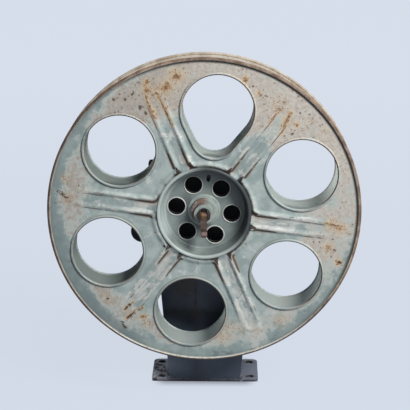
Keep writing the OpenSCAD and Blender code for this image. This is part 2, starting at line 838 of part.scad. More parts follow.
module front_crank_bush() {
    color([0.62, 0.50, 0.28])
        tube(crank_bush_r, crank_shaft_r + run_fit, ped_inside, ped_inside + crank_bush_l, crank_z);
}

module rear_crank_bush() {
    bore_r = crank_shaft_r + run_fit;
    color([0.62, 0.50, 0.28]) difference() {
        union() {
            rod(crank_bush_r, housing_y, cover_back, crank_z);
            rod(crank_bush_r + bush_flange_over, cover_back, bush_back_y, crank_z);
        }
        rod(bore_r, housing_y - over, bush_back_y + over, crank_z);
    }
}

// Crank shaft, cut for the wheel's key and stepped down for the nut
module crank_shaft() {
    color([0.45, 0.44, 0.43]) difference() {
        union() {
            rod(crank_shaft_r, crank_shaft_y, arm_back_y, crank_z);
            rod(crank_thread_d / 2, arm_back_y, arm_back_y + crank_nut_h + over, crank_z);
        }
        key_block(seat_fit);
    }
}

// Key half sunk in the shaft, half in the wheel's hub
module key_block(clear) {
    half = key_w / 2 + clear;
    translate([-half, wheel_y, crank_z + crank_shaft_r - half])
        cube([2 * half, wheel_w + gear_hub_l, 2 * half]);
}

module wheel_key() {
    color([0.55, 0.53, 0.50]) key_block(0);
}

// Wheel with a gap pointing up at the pinion
module drive_wheel() {
    color([0.48, 0.45, 0.38]) difference() {
        union() {
            faced(0, wheel_y + wheel_w, crank_z)
                linear_extrude(wheel_w)
                polygon(gear_outline(wheel_teeth, 90 + 180 / wheel_teeth));
            rod(wheel_hub_r, wheel_y + wheel_w, wheel_back_y, crank_z);
        }
        rod(crank_shaft_r + seat_fit, wheel_y - over, wheel_back_y + over, crank_z);
        key_block(seat_fit);
        for (i = [0 : wheel_hole_n - 1]) {
            a = 90 + (i + 0.5) * 360 / wheel_hole_n;
            rod(
                wheel_hole_d / 2, wheel_y - over, wheel_y + wheel_w + over,
                crank_z + wheel_hole_at * sin(a), wheel_hole_at * cos(a)
            );
        }
    }
}

module crank_collar() {
    color([0.50, 0.50, 0.50])
        tube(crank_collar_r, crank_shaft_r + seat_fit, collar_y, collar_y + collar_t, crank_z);
}

// Crank arm, which points to the left at rest
module crank_arm() {
    color([0.10, 0.10, 0.11]) difference() {
        union() {
            rod(arm_root_r, arm_y, arm_back_y, crank_z);
            rod(arm_end_r, arm_y, arm_back_y, crank_z, -crank_throw);
            translate([-crank_throw, arm_y, crank_z - arm_w / 2]) cube([crank_throw, arm_t, arm_w]);
        }
        rod(crank_shaft_r + seat_fit, arm_y - over, arm_back_y + over, crank_z);
        rod(stud_r + seat_fit, arm_y - over, arm_back_y + over, crank_z, -crank_throw);
    }
}

module crank_nut() {
    across_corners = crank_nut_af / cos(30);
    color([0.35, 0.34, 0.34]) difference() {
        turned(0, arm_back_y, crank_z) cylinder(d = across_corners, h = crank_nut_h, $fn = 6);
        rod(crank_thread_d / 2 + seat_fit, arm_back_y - over, arm_back_y + crank_nut_h + over, crank_z);
    }
}

module handle_stud() {
    color([0.42, 0.41, 0.40]) difference() {
        union() {
            rod(stud_r, arm_y, stud_end_y, crank_z, -crank_throw);
            rod(stud_flange_r, stud_flange_y, stud_flange_y + stud_flange_t, crank_z, -crank_throw);
        }
        rod(grip_screw_d / 2 + seat_fit, stud_end_y - grip_screw_l, stud_end_y + over, crank_z, -crank_throw);
    }
}

// Turned hand grip, fullest two thirds of the way out
module handle_grip() {
    full_at = 2 / 3;
    swell = grip_full_r - grip_end_r;
    steps = 12;
    sides = [for (i = [0 : steps])
        let (t = i / steps, u = t < full_at ? t / full_at : (1 - t) / (1 - full_at))
        [grip_end_r + swell * sin(90 * u), t * grip_l]];
    color([0.09, 0.08, 0.08])
        turned(-crank_throw, grip_y, crank_z)
        rotate_extrude()
        polygon(concat([[stud_r + run_fit, 0]], sides, [[stud_r + run_fit, grip_l]]));
}

// Screw whose broad head keeps the grip on its stud
module handle_cap() {
    slot_w = grip_cap_h / 3;
    head_y = stud_end_y + grip_cap_h;
    color([0.40, 0.39, 0.38]) difference() {
        union() {
            rod(grip_screw_d / 2, stud_end_y - grip_screw_l, stud_end_y + over, crank_z, -crank_throw);
            rod(grip_cap_r, stud_end_y, head_y, crank_z, -crank_throw);
        }
        translate([-crank_throw - 2 * grip_cap_r, head_y - slot_w, crank_z - slot_w / 2])
            cube([4 * grip_cap_r, slot_w + over, slot_w]);
    }
}

front_flange();
rear_flange();
hub_drum();
front_hub_cup();
rear_hub_cup();
hub_sleeve();
front_boss();
rear_boss();
spindle();
spindle_latch();
latch_pin();
drive_plate();
drive_dog();
pinion();
pinion_pin();
base_plate();
pedestal();
rear_cover();
cover_screws();
front_spindle_bush();
rear_spindle_bush();
front_crank_bush();
rear_crank_bush();
crank_shaft();
drive_wheel();
wheel_key();
crank_collar();
crank_arm();
crank_nut();
handle_stud();
handle_grip();
handle_cap();
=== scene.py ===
"""Dresses the film reel and its stand: pressed flanges, rolled edges, worn paint, rust, welds and wood."""
import json
import math

import bmesh
import bpy
from mathutils import Matrix, Vector
from mathutils.geometry import delaunay_2d_cdt


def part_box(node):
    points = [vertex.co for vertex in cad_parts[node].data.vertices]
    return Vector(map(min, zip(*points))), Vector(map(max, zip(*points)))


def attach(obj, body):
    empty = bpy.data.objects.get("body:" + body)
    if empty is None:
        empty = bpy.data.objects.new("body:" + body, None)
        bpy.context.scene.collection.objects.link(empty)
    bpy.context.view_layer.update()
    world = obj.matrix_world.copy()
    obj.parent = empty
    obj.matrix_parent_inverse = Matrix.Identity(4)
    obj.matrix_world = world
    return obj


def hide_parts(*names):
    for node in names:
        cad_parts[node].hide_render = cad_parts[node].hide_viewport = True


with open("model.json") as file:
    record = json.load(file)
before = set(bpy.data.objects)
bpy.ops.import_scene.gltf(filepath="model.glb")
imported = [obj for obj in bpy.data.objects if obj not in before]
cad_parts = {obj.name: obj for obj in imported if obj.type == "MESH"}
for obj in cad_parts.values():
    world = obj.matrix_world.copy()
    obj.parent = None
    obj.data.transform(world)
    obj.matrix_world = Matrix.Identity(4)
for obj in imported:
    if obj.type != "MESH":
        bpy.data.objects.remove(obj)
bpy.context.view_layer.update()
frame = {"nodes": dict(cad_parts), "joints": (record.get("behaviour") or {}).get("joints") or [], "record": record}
scene = bpy.context.scene
scene.view_settings.view_transform = "Standard"

# Sizes below are in millimetres, and MM turns them into the frame's metres
MM = 0.001

joint_at = {joint["name"]: Vector(joint["pos_m"]) for joint in frame["joints"]}
REEL_MIDDLE = joint_at["reel_spin"]
LATCH_MIDDLE = joint_at["latch_flip"]
GRIP_MIDDLE = joint_at["grip_spin"]

# The reel, seen from the front and turned a little clockwise
REEL_TURN = math.radians(-7.5)
FILM_GAP = 39.5
SHEET = 1.2
RIM_PATH = 188.5
ROLL = 2.0
ROLL_RISE = 1.7
LIP_ROLL = 1.6
LIP_RISE = 1.55
HOLE_PITCH = 127.4
HOLE_PATH = 44.5
TEAR_PATH = 28.0
TEAR_AT = 96.5
TEAR_LEAN = math.asin((HOLE_PATH - TEAR_PATH) / (HOLE_PITCH - TEAR_AT))

# The bead that is pressed along both sides of each spoke and round the hub
SPOKES = 6
SPOKE_STEP = math.tau / SPOKES
SPOKE_HALF = 8.75
SPOKE_CLOSE = 152.85
HUB_BEAD = 61.0
HUB_OPEN = 57.7
BEAD_BEND = 6.0
BEAD_RISE = 2.6
BEAD_FOOT = 4.9
BEND_ACROSS = SPOKE_HALF + BEAD_BEND
BEND_ALONG = math.sqrt((HUB_BEAD + BEAD_BEND) ** 2 - BEND_ACROSS ** 2)
BEND_ANGLE = math.atan2(BEND_ACROSS, BEND_ALONG)

# The side the key lamp shines from, up and to the right, by which the paint places painted shade and painted
# highlights on the rolled edges
LIGHT_SIDE = Vector((1, 0, 1)).normalized()


def srgb(red, green, blue):
    """A colour as a paint chart gives it, 0 to 255, as linear light."""
    light = [c / 255 / 12.92 if c <= 10 else ((c / 255 + 0.055) / 1.055) ** 2.4 for c in (red, green, blue)]
    return (*light, 1.0)


# Node trees


class Net:
    """A node tree being built. Each call adds a node and gives back an output to feed to the next."""

    def __init__(self, tree):
        self.tree = tree

    def feed(self, socket, value):
        if isinstance(value, bpy.types.NodeSocket):
            self.tree.links.new(value, socket)
        else:
            socket.default_value = value

    def node(self, kind, inputs=(), **settings):
        made = self.tree.nodes.new(kind)
        for name, value in settings.items():
            setattr(made, name, value)
        for key, value in dict(inputs).items():
            self.feed(made.inputs[key], value)
        return made

    def place(self):
        return self.node("ShaderNodeTexCoord").outputs["Object"]

    def attribute(self, name):
        return self.node("ShaderNodeAttribute", attribute_name=name).outputs["Fac"]

    def math(self, operation, a, b=0.0, clamp=False):
        return self.node("ShaderNodeMath", {0: a, 1: b}, operation=operation, use_clamp=clamp).outputs[0]

    def chain(self, operation, values):
        """All the values joined by one operation, from the first to the last."""
        joined = values[0]
        for value in values[1:]:
            joined = self.math(operation, joined, value)
        return joined

    def add(self, *terms):
        return self.chain("ADD", terms)

    def times(self, *factors):
        return self.chain("MULTIPLY", factors)

    def most(self, *values):
        return self.chain("MAXIMUM", values)

    def least(self, *values):
        return self.chain("MINIMUM", values)

    def minus(self, a, b):
        return self.math("SUBTRACT", a, b)

    def size(self, value):
        """How large a value is, whatever its sign."""
        return self.math("ABSOLUTE", value)

    def vector(self, operation, a, b, output="Vector"):
        return self.node("ShaderNodeVectorMath", {0: a, 1: b}, operation=operation).outputs[output]

    def dot(self, a, b):
        return self.vector("DOT_PRODUCT", a, b, "Value")

    def scaled(self, vector, scale):
        return self.node("ShaderNodeVectorMath", {0: vector, 3: scale}, operation="SCALE").outputs[0]

    def parts(self, vector):
        """The x, y and z of a vector."""
        return self.node("ShaderNodeSeparateXYZ", {0: vector}).outputs

    def fade(self, value, start, end):
        """0 at start and 1 at end, smooth between, whichever of the two is larger."""
        inputs = {"Value": value, "From Min": start, "From Max": end}
        return self.node("ShaderNodeMapRange", inputs, interpolation_type="SMOOTHSTEP").outputs[0]

    def noise(self, vector, size, detail=4.0, rough=0.55, warp=0.0):
        """Noise with blotches about this many millimetres wide."""
        inputs = {"Vector": vector, "Scale": 1 / (size * MM), "Detail": detail}
        inputs.update({"Roughness": rough, "Distortion": warp})
        return self.node("ShaderNodeTexNoise", inputs).outputs[0]

    def stretched(self, vector, scale):
        return self.node("ShaderNodeMapping", {"Vector": vector, "Scale": scale}).outputs[0]

    def mix(self, factor, a, b):
        return self.node("ShaderNodeMix", {0: factor, 6: a, 7: b}, data_type="RGBA").outputs[2]

    def tones(self, field, a, b, spread=0.15):
        """Two colours that drift into each other over a noise."""
        return self.mix(self.fade(field, 0.5 - spread, 0.5 + spread), a, b)

    def level(self, factor, a, b):
        return self.node("ShaderNodeMix", {0: factor, 2: a, 3: b}).outputs[0]

    def use(self, group, output="Mask", **values):
        return self.node("ShaderNodeGroup", values, node_tree=group).outputs[output]

    def bump(self, height, depth, normal=None):
        """A normal from a height between 0 and 1 that stands for this many millimetres."""
        inputs = {"Height": height, "Distance": depth * MM, "Strength": 1.0}
        if normal is not None:
            inputs["Normal"] = normal
        return self.node("ShaderNodeBump", inputs).outputs[0]

    def dress(self, shader, colour, roughness, normal, metallic=0.0):
        """Feeds a finish to its surface shader."""
        looks = {"Base Color": colour, "Roughness": roughness, "Normal": normal, "Metallic": metallic}
        for name, value in looks.items():
            self.feed(shader.inputs[name], value)


def shader_group(name, inputs, outputs):
    """A new shader group, with its net, its own inputs and the sockets that its results go to."""
    tree = bpy.data.node_groups.new(name, "ShaderNodeTree")
    for label, kind, value in inputs:
        socket = tree.interface.new_socket(label, in_out="INPUT", socket_type=kind)
        socket.default_value = value
    for label, kind in outputs:
        tree.interface.new_socket(label, in_out="OUTPUT", socket_type=kind)
    net = Net(tree)
    return tree, net, net.node("NodeGroupInput").outputs, net.node("NodeGroupOutput").inputs


FLOAT, VECTOR = "NodeSocketFloat", "NodeSocketVector"
WHOLE, MATERIAL = "NodeSocketInt", "NodeSocketMaterial"
NO_PLACE = (0.0, 0.0, 0.0)


def speckle_group():
    """Round spots of mixed sizes, such as rust pits that show through paint."""
    inputs = [("Vector", VECTOR, NO_PLACE), ("Spacing", FLOAT, 5.0), ("Amount", FLOAT, 0.5)]
    tree, net, given, results = shader_group("Speckle", inputs, [("Mask", FLOAT)])
    ripple = {"Vector": given["Vector"], "Scale": 900.0, "Detail": 2.0}
    wander = net.node("ShaderNodeTexNoise", ripple).outputs[1]
    moved = net.vector("ADD", given["Vector"], net.scaled(wander, 1.1 * MM))
    scale = net.math("DIVIDE", 1 / MM, given["Spacing"])
    cells = net.node("ShaderNodeTexVoronoi", {"Vector": moved, "Scale": scale})
    chance = net.node("ShaderNodeSeparateColor", {0: cells.outputs["Color"]}).outputs[0]
    reach = net.times(given["Amount"], net.math("POWER", chance, 1.6), 0.62)
    spot = net.fade(cells.outputs["Distance"], reach, net.times(reach, 0.5))
    net.feed(results["Mask"], net.times(spot, net.fade(given["Amount"], 0.0, 0.08)))
    return tree


def stain_group():
    """How far a place lies from a stain drawn out between two points, 1 at the stain's edge."""
    inputs = [(label, VECTOR, NO_PLACE) for label in ("Vector", "From", "To")]
    tree, net, given, results = shader_group("Stain", inputs + [("Radius", FLOAT, 8.0)], [("Share", FLOAT)])
    ahead = net.vector("SUBTRACT", given["To"], given["From"])
    offset = net.vector("SUBTRACT", given["Vector"], given["From"])
    share = net.math("DIVIDE", net.dot(offset, ahead), net.dot(ahead, ahead), clamp=True)
    gap = net.vector("DISTANCE", offset, net.scaled(ahead, share), "Value")
    net.feed(results["Share"], net.math("DIVIDE", gap, net.times(given["Radius"], MM)))
    return tree


def flake_group():
    """Ragged islands, such as paint that has flaked off. Amount is the share that is gone."""
    inputs = [("Vector", VECTOR, NO_PLACE), ("Size", FLOAT, 20.0)]
    inputs += [("Amount", FLOAT, 0.3), ("Softness", FLOAT, 0.03)]
    tree, net, given, results = shader_group("Flakes", inputs, [("Mask", FLOAT)])
    scale = net.math("DIVIDE", 1 / MM, given["Size"])
    noise = {"Vector": given["Vector"], "Scale": scale, "Detail": 8.0, "Roughness": 0.62, "Distortion": 0.25}
    field = net.node("ShaderNodeTexNoise", noise).outputs[0]
    edge = net.level(given["Amount"], 0.74, 0.26)
    net.feed(results["Mask"], net.fade(field, edge, net.add(edge, given["Softness"])))
    return tree


def worn_edge_group():
    """Edges that are rounded to the eye and rubbed through to what lies under the paint."""
    inputs = [("Vector", VECTOR, NO_PLACE), ("Radius", FLOAT, 0.8), ("Amount", FLOAT, 0.8)]
    tree, net, given, results = shader_group("Worn edge", inputs, [("Mask", FLOAT), ("Normal", VECTOR)])
    soft = net.node("ShaderNodeBevel", {"Radius": net.times(given["Radius"], MM)}, samples=6).outputs[0]
    flat = net.node("ShaderNodeNewGeometry").outputs["Normal"]
    lean = net.minus(1.0, net.dot(soft, flat))
    broken = net.add(0.25, net.times(1.5, net.noise(given["Vector"], 7.0, 6.0, 0.65)))
    net.feed(results["Mask"], net.times(net.fade(net.times(lean, broken), 0.03, 0.12), given["Amount"]))
    net.feed(results["Normal"], soft)
    return tree


SPECKLE = speckle_group()
STAIN = stain_group()
FLAKES = flake_group()
WORN_EDGE = worn_edge_group()


def finish_material(name):
    """A new material with its net and its one surface shader."""
    made = bpy.data.materials.new(name)
    made.use_nodes = True
    made.node_tree.nodes.clear()
    net = Net(made.node_tree)
    shader = net.node("ShaderNodeBsdfPrincipled")
    net.node("ShaderNodeOutputMaterial", {"Surface": shader.outputs[0]})
    return made, net, shader


def worn_edge(net, place, rubbed, amount, rounded):
    """Where an edge is rubbed through, and the normal of a rounded edge, for two radii in millimetres."""
    mask = net.use(WORN_EDGE, Vector=place, Radius=rubbed, Amount=amount)
    return mask, net.use(WORN_EDGE, "Normal", Vector=place, Radius=rounded, Amount=0.0)


def reel_place(u, v, w, side):
    """A place on the reel in the shared frame: u right, v up, w out from the film space, side -1 in front."""
    x = u * math.cos(REEL_TURN) - v * math.sin(REEL_TURN)
    z = u * math.sin(REEL_TURN) + v * math.cos(REEL_TURN)
    return REEL_MIDDLE + Vector((x, side * (FILM_GAP / 2 + w), z)) * MM


def on_flange(place):
    """The u and v of a place in the shared frame."""
    x, z = (place.x - REEL_MIDDLE.x) / MM, (place.z - REEL_MIDDLE.z) / MM
    c, s = math.cos(REEL_TURN), math.sin(REEL_TURN)
    return x * c + z * s, z * c - x * s


def reel_height(rise):
    """The height in the shared frame of a level so many millimetres above the reel's middle."""
    return REEL_MIDDLE.z + rise * MM


# Finishes of the flanges

# Rust stains on the front of the front flange: place on the reel, or the two ends of a streak, and radius
RUST = [
    (-54, 162, 11), (-65, 147, 11), (-86, 141, 8), (-76, 116, 5), (-88, 150, 6), (27, 168, 6), (45, 155, 4),
    (154, 7, 9), (85, 137, 78, 111, 3.4), (82, 128, 80, 120, 5.5), (73, 138, 60, 121, 2), (95, 123, 5),
    (166, 4, 8), (156, -22, 6), (171, -39, 6), (-58, -142, 6), (-88, 135, -73, 108, 2.6),
    (-76, 140, -50, 103, 2.6), (-62, 122, 4), (-82, -136, -71, -123, 2.2), (-78, -147, -63, -130, 2.4),
    (-60, -131, 3),
]
FOXING = [
    (51, -141, 15), (45, -156, 14), (64, -143, 10), (112, -124, 14), (-165, -4, 10), (-105, -124, 10),
    (-52, -152, 10), (110, 128, 7), (106, 122, 6), (129, 121, 7), (160, 5, 12), (158, -27, 9),
    (-74, 140, 16), (70, 146, 15), (-172, 22, 10),
]
DARK_STAINS = [
    (-111, 127, 5), (-123, 125, 5), (-103, 134, 5), (-92, 119, 5), (-85, 113, 4), (-97, 148, 4),
    (-176, 4, 6), (-171, 0, 5), (-178, -10, 5), (180, 10, 5), (179, -2, 5), (164, -24, 5), (173, -40, 5),
    (77, 148, 4), (117, 112, 4), (-57, -140, 5), (160, 6, 5), (-104, -124, 4), (92, 112, 4), (60, 128, 4),
    (-179, 4, -167, -3, 4), (-179, -11, -173, -9, 2.5), (-84, -151, -78, -159, 4), (97, 138, 3),
    (-88, -146, 4), (94, -8, 106, -7, 2.4), (66, 8, 122, 10, 2.6), (-80, -134, -73, -126, 5),
    (-75, -145, -64, -132, 5),
]

# What the flanges' meshes store at each vertex, in millimetres or as shares
FLANGE_FIELDS = ("bead_gap", "lip_gap", "rim_gap", "inner", "lee", "under", "channel", "along", "across")


def nearest_stain(net, place, spots):
    """Distance to the nearest of several stains, as a share of its radius."""
    shares = []
    for *ends, radius in spots:
        start, end = reel_place(*ends[:2], SHEET, -1), reel_place(*ends[-2:], SHEET, -1)
        shares.append(net.use(STAIN, "Share", Vector=place, From=start, To=end, Radius=radius))
    return net.least(*shares)


class FlangeFields:
    """What the flanges' paint reads at a place: where it lies on the pressing, and noises wide and fine."""

    def __init__(self, net):
        self.place = net.place()
        for name in FLANGE_FIELDS:
            setattr(self, name, net.attribute(name))
        self.outer = net.minus(1.0, self.inner)
        self.beside = net.size(self.across)
        self.spoke = net.fade(self.beside, 18, 8)
        self.drift = net.noise(self.place, 70, 3.0)
        self.cloud = net.noise(self.place, 17, 6.0, 0.62, 0.3)
        self.crumb = net.noise(self.place, 4.5, 6.0, 0.7)
        self.grain = net.noise(self.place, 1.3, 4.0, 0.7)
        self.ragged = net.times(net.minus(self.crumb, 0.5), 3.0)
        lengthwise = {0: net.times(self.along, 0.2 * MM), 1: net.times(self.across, MM)}
        self.streak = net.noise(net.node("ShaderNodeCombineXYZ", lengthwise).outputs[0], 3.0, 5.0, 0.65)
        self.x, self.y, self.z = net.parts(self.place)
        self.high = net.fade(self.z, reel_height(-120), reel_height(140))
        self.low = net.fade(self.z, reel_height(60), reel_height(-40))
        self.bottom = net.fade(self.z, reel_height(-110), reel_height(-170))
        self.high_right = net.fade(net.add(self.x, self.z), reel_height(-80), reel_height(200))
        self.front = net.fade(self.y, REEL_MIDDLE.y + 2 * MM, REEL_MIDDLE.y - 2 * MM)


def chalky_coat(net, at):
    """Paint, chalky in drifts, with pale scuffs by the hub and along the spokes."""
    colour = net.tones(at.cloud, srgb(138, 151, 148), srgb(162, 173, 169), 0.14)
    by_hub = net.level(net.fade(at.rim_gap, 78, 118), 0.24, 0.34)
    scuffing = net.most(by_hub, net.times(at.spoke, net.level(at.high, 0.62, 0.42)))
    lie = net.stretched(at.place, (1.0, 1.0, 1.3))
    scuffs = net.use(FLAKES, Vector=lie, Size=19.0, Amount=scuffing, Softness=0.05)
    pale = net.mix(at.spoke, srgb(190, 195, 191), srgb(201, 200, 193))
    return net.mix(net.times(scuffs, 0.75, at.outer), colour, pale)


def slate_and_painted_shade(net, at, colour):
    """Slate paint in blotches by the rim, and painted shade on the flanks facing away from the light, in the
    channels and along the rim. Painted light makes the film side lighter towards the right.
    """
    by_rim = net.fade(at.rim_gap, 34, 4)
    by_rim = net.times(by_rim, net.level(at.high_right, 1.0, 0.05), net.level(at.low, 0.72, 1.0))
    # Slate blotches by the rim, and painted shade on the flanks that face away from the light
    thick_paint_and_shade = net.most(net.times(by_rim, 0.54), net.times(net.fade(at.lee, 0.1, 0.5), 0.6))
    lie = net.stretched(at.place, (0.8, 0.8, 1.2))
    slate_and_shade = net.use(FLAKES, Vector=lie, Size=18.0, Amount=thick_paint_and_shade, Softness=0.16)
    # Painted shade in the spokes' channels, broken into streaks
    shadow = net.times(at.channel, net.fade(net.add(at.streak, net.times(at.cloud, 0.5)), 0.6, 0.9))

    # Painted shade in a band along the rim, on the side away from the light, weakest at the bottom right
    lower_half = net.fade(at.z, reel_height(10), reel_height(-40))
    shaded = net.most(net.fade(at.high_right, 0.5, 0.15), net.times(lower_half, 0.5))
    at_foot = net.times(at.bottom, net.fade(at.x, -100 * MM, -50 * MM))
    shaded = net.times(shaded, net.level(at_foot, 1.0, 0.3))
    band = net.times(net.fade(at.rim_gap, 27, 8), shaded)
    band = net.times(band, net.level(at.low, 0.65, 1.0), net.level(at.drift, 0.5, 0.95))
    share = net.most(net.times(slate_and_shade, net.level(at.high_right, 0.8, 0.5)), band)
    colour = net.mix(net.most(share, net.times(shadow, 0.5)), colour, srgb(96, 109, 110))
    # Painted light on the film side: darker on the left, lighter on the right
    film_side_painted_light = net.mix(net.fade(at.x, -120 * MM, 20 * MM), srgb(136, 145, 139), srgb(184, 192, 186))
    return net.mix(net.times(at.inner, 0.85), colour, film_side_painted_light), slate_and_shade, band


def primer_wear(net, at, colour, slate_and_shade, band):
    """Chalk and primer that show on the panels between the holes, and where the paint is worn through."""
    to_rim = net.fade(at.rim_gap, net.level(at.high_right, 0, -10), net.level(at.high_right, 22, 7))
    to_hub = net.fade(at.rim_gap, net.level(at.high_right, 58, 104), net.level(at.high_right, 32, 62))
    panel = net.times(net.fade(at.lip_gap, -9, 5), to_rim, to_hub)
    kept_paint = net.times(at.spoke, net.fade(at.high_right, 0.5, 0.9), net.fade(at.rim_gap, 26, 44))
    thin = net.add(net.times(panel, 0.5), net.times(at.high, 0.2), net.times(at.drift, 0.7))
    patchy = net.times(net.add(at.cloud, at.crumb), 0.95)
    thin = net.add(thin, patchy, net.add(net.times(slate_and_shade, -0.25), -0.37))
    thin = net.add(thin, net.times(net.most(kept_paint, band), -0.3))
    chalk = net.times(net.fade(thin, 1.12, 1.4), at.outer)
    worn = net.times(net.fade(thin, 1.3, 1.55), at.outer)
    primer = net.tones(at.crumb, srgb(189, 180, 169), srgb(168, 158, 147), 0.14)
    primer = net.mix(net.times(net.fade(at.x, 10 * MM, -80 * MM), 0.55), primer, srgb(140, 130, 119))
    colour = net.mix(net.times(chalk, 0.7), colour, srgb(184, 188, 181))
    return net.mix(net.times(worn, 0.85), colour, primer), worn


def rubbed_and_lit_bead_crowns(net, at, colour):
    """Crowns of the beads on the side that faces the light, in a warm white that is partly rubbed paint and partly
    a painted highlight.
    """
    rubbed = net.level(net.fade(net.add(at.streak, net.times(at.cloud, 0.6)), 0.7, 0.9), 0.1, 0.8)
    # Painted highlight on the crowns that face the light, broken up by the rubbing
    crown = net.times(net.fade(at.bead_gap, 3.4, 0.6), net.fade(at.lee, 0.2, -0.2), rubbed, at.outer)
    return net.mix(net.times(crown, 0.4), colour, srgb(202, 196, 182)), crown


def brown_speckle(net, at, colour, worn, crown):
    """Brown speckle of three sizes, thick where the paint is thin. The largest spots are pits."""
    bare = net.most(net.times(worn, net.level(at.high, 0.7, 1.0)), net.times(crown, 0.4), 0.15)
    patchy = net.times(bare, net.fade(net.add(at.cloud, net.times(at.drift, 0.4)), 0.52, 0.8))
    fine = net.use(SPECKLE, Vector=at.place, Spacing=1.9, Amount=net.times(bare, 0.9))
    middling = net.use(SPECKLE, Vector=at.place, Spacing=4.2, Amount=net.times(bare, 0.62))
    pits = net.use(SPECKLE, Vector=at.place, Spacing=7.5, Amount=net.times(patchy, 0.62))
    colour = net.mix(net.times(fine, 0.5), colour, srgb(132, 104, 84))
    colour = net.mix(net.times(middling, 0.75), colour, srgb(108, 78, 58))
    return net.mix(net.times(pits, 0.85), colour, srgb(104, 72, 50)), pits


def rust_stains(net, at, colour):
    """Rust in its own places, in grains: a pale stain, the rust and its dark middle, and dark spots."""
    broken = net.add(at.ragged, net.times(net.minus(at.streak, 0.5), 2.0))
    near = net.add(nearest_stain(net, at.place, RUST), net.times(broken, 0.8))
    foxed = net.add(nearest_stain(net, at.place, FOXING), net.times(at.ragged, 0.5))
    foxing = net.fade(foxed, 1.2, 0.2)
    halo = net.times(net.most(net.fade(near, 1.5, 0.3), net.times(foxing, 0.3)), at.outer)
    field = net.most(net.fade(near, 1.7, 0.3), net.times(foxing, 0.9))
    grains = [net.use(SPECKLE, Vector=at.place, Spacing=size, Amount=field) for size in (1.9, 3.0)]
    fox_grains = net.fade(net.add(at.grain, net.times(at.crumb, 0.7)), 0.88, 1.0)
    grains = net.most(*grains, net.times(foxing, fox_grains, 0.8))
    solid = net.times(net.fade(near, 0.6, 0.1), net.level(at.crumb, 0.3, 1.3))
    rust = net.times(net.most(solid, grains), at.outer)
    middle = net.add(near, net.times(net.minus(at.grain, 0.5), 2.4))
    core = net.times(net.fade(middle, 0.3, -0.2), at.outer)
    colour = net.mix(net.times(halo, 0.5), colour, srgb(202, 178, 136))
    rust_tone = net.tones(at.grain, srgb(172, 118, 58), srgb(110, 68, 36))
    colour = net.mix(net.times(rust, 0.92), colour, rust_tone)
    colour = net.mix(net.times(core, 0.85), colour, srgb(78, 48, 28))
    near_dark = net.add(nearest_stain(net, at.place, DARK_STAINS), net.times(broken, 1.1))
    dark = net.times(net.fade(near_dark, 0.5, 0.0), at.outer)
    return net.mix(net.times(dark, 0.9), colour, srgb(70, 48, 34)), rust, dark


def bead_dirt(net, at, colour):
    """Dirt under the beads, widest towards the hub, with rust by their outer ends and dots beside them."""
    by_end = net.times(net.fade(at.rim_gap, 90, 50), net.level(at.high, 0.3, 1.0))
    near_hub = net.fade(at.rim_gap, 82, 122)
    width = net.level(near_hub, 0.9, 2.2)
    on_bead = net.times(net.fade(at.beside, 16, 13.5), net.fade(at.rim_gap, 38, 46))
    off_line = net.add(net.size(net.minus(at.bead_gap, 3.0)), net.times(at.ragged, 0.5))
    below = net.fade(at.under, 0.15, 0.45)
    flank = net.times(net.fade(off_line, width, net.times(width, 0.3)), below, on_bead)
    clinging = net.times(net.most(near_hub, by_end), 0.4)
    kept = net.fade(net.add(at.streak, net.times(at.crumb, 0.6), clinging), 0.88, 1.02)
    streaked = net.fade(net.add(at.streak, net.times(at.cloud, 0.5)), 0.8, 0.92)
    streaks = net.times(net.fade(at.bead_gap, 3.6, 1.4), by_end, streaked)
    tanned = net.times(net.fade(off_line, net.times(width, 2.4), width), below, on_bead)
    tanned = net.times(tanned, kept, near_hub, at.outer)
    colour = net.mix(net.times(tanned, 0.45), colour, srgb(142, 112, 86))
    stain = net.times(net.most(net.times(flank, kept, 0.9), net.times(streaks, 0.85)), at.outer)
    grime = net.mix(at.grain, srgb(30, 24, 22), srgb(76, 56, 43))
    colour = net.mix(stain, colour, net.mix(net.times(by_end, at.high), grime, srgb(124, 80, 46)))
    dotted = net.times(net.fade(off_line, 4.0, 0.5), on_bead)
    dotted = net.times(dotted, net.level(at.high_right, 0.3, 0.8), net.fade(at.cloud, 0.38, 0.6))
    dots = [net.use(SPECKLE, Vector=at.place, Spacing=size, Amount=dotted) for size in (1.7, 3.1)]
    dot_tone = net.tones(at.grain, srgb(126, 88, 58), srgb(54, 38, 30))
    return net.mix(net.times(net.most(*dots), at.outer, 0.8), colour, dot_tone), stain


def hub_dirt(net, at, colour):
    """Black dirt round the cup's mouth, and in the corners where the beads turn along it."""
    kept = net.most(net.fade(at.x, -25 * MM, 15 * MM), net.fade(at.beside, 22, 12), 0.15)
    by_cup = net.times(net.fade(net.add(at.rim_gap, at.ragged), 127.4, 129.2), net.fade(at.beside, 7, 10))
    gap = net.times(by_cup, kept, net.level(at.crumb, 0.6, 1.2))
    off_corner = net.add(net.size(net.add(at.beside, -8.8)), net.times(at.ragged, 0.9))
    taper = net.most(net.add(net.times(at.rim_gap, 0.5), -60.4), 0.1)
    corner = net.times(net.fade(off_corner, taper, net.times(taper, 0.5)), net.fade(at.rim_gap, 119, 122))
    corner = net.times(corner, net.level(net.fade(at.x, -56 * MM, -50 * MM), 0.45, 1.0))
    dirt = net.times(net.most(gap, corner), at.outer)
    dirt_tone = net.mix(net.fade(at.grain, 0.46, 0.8), srgb(22, 16, 13), srgb(88, 58, 40))
    return net.mix(net.times(dirt, 0.95), colour, dirt_tone), dirt


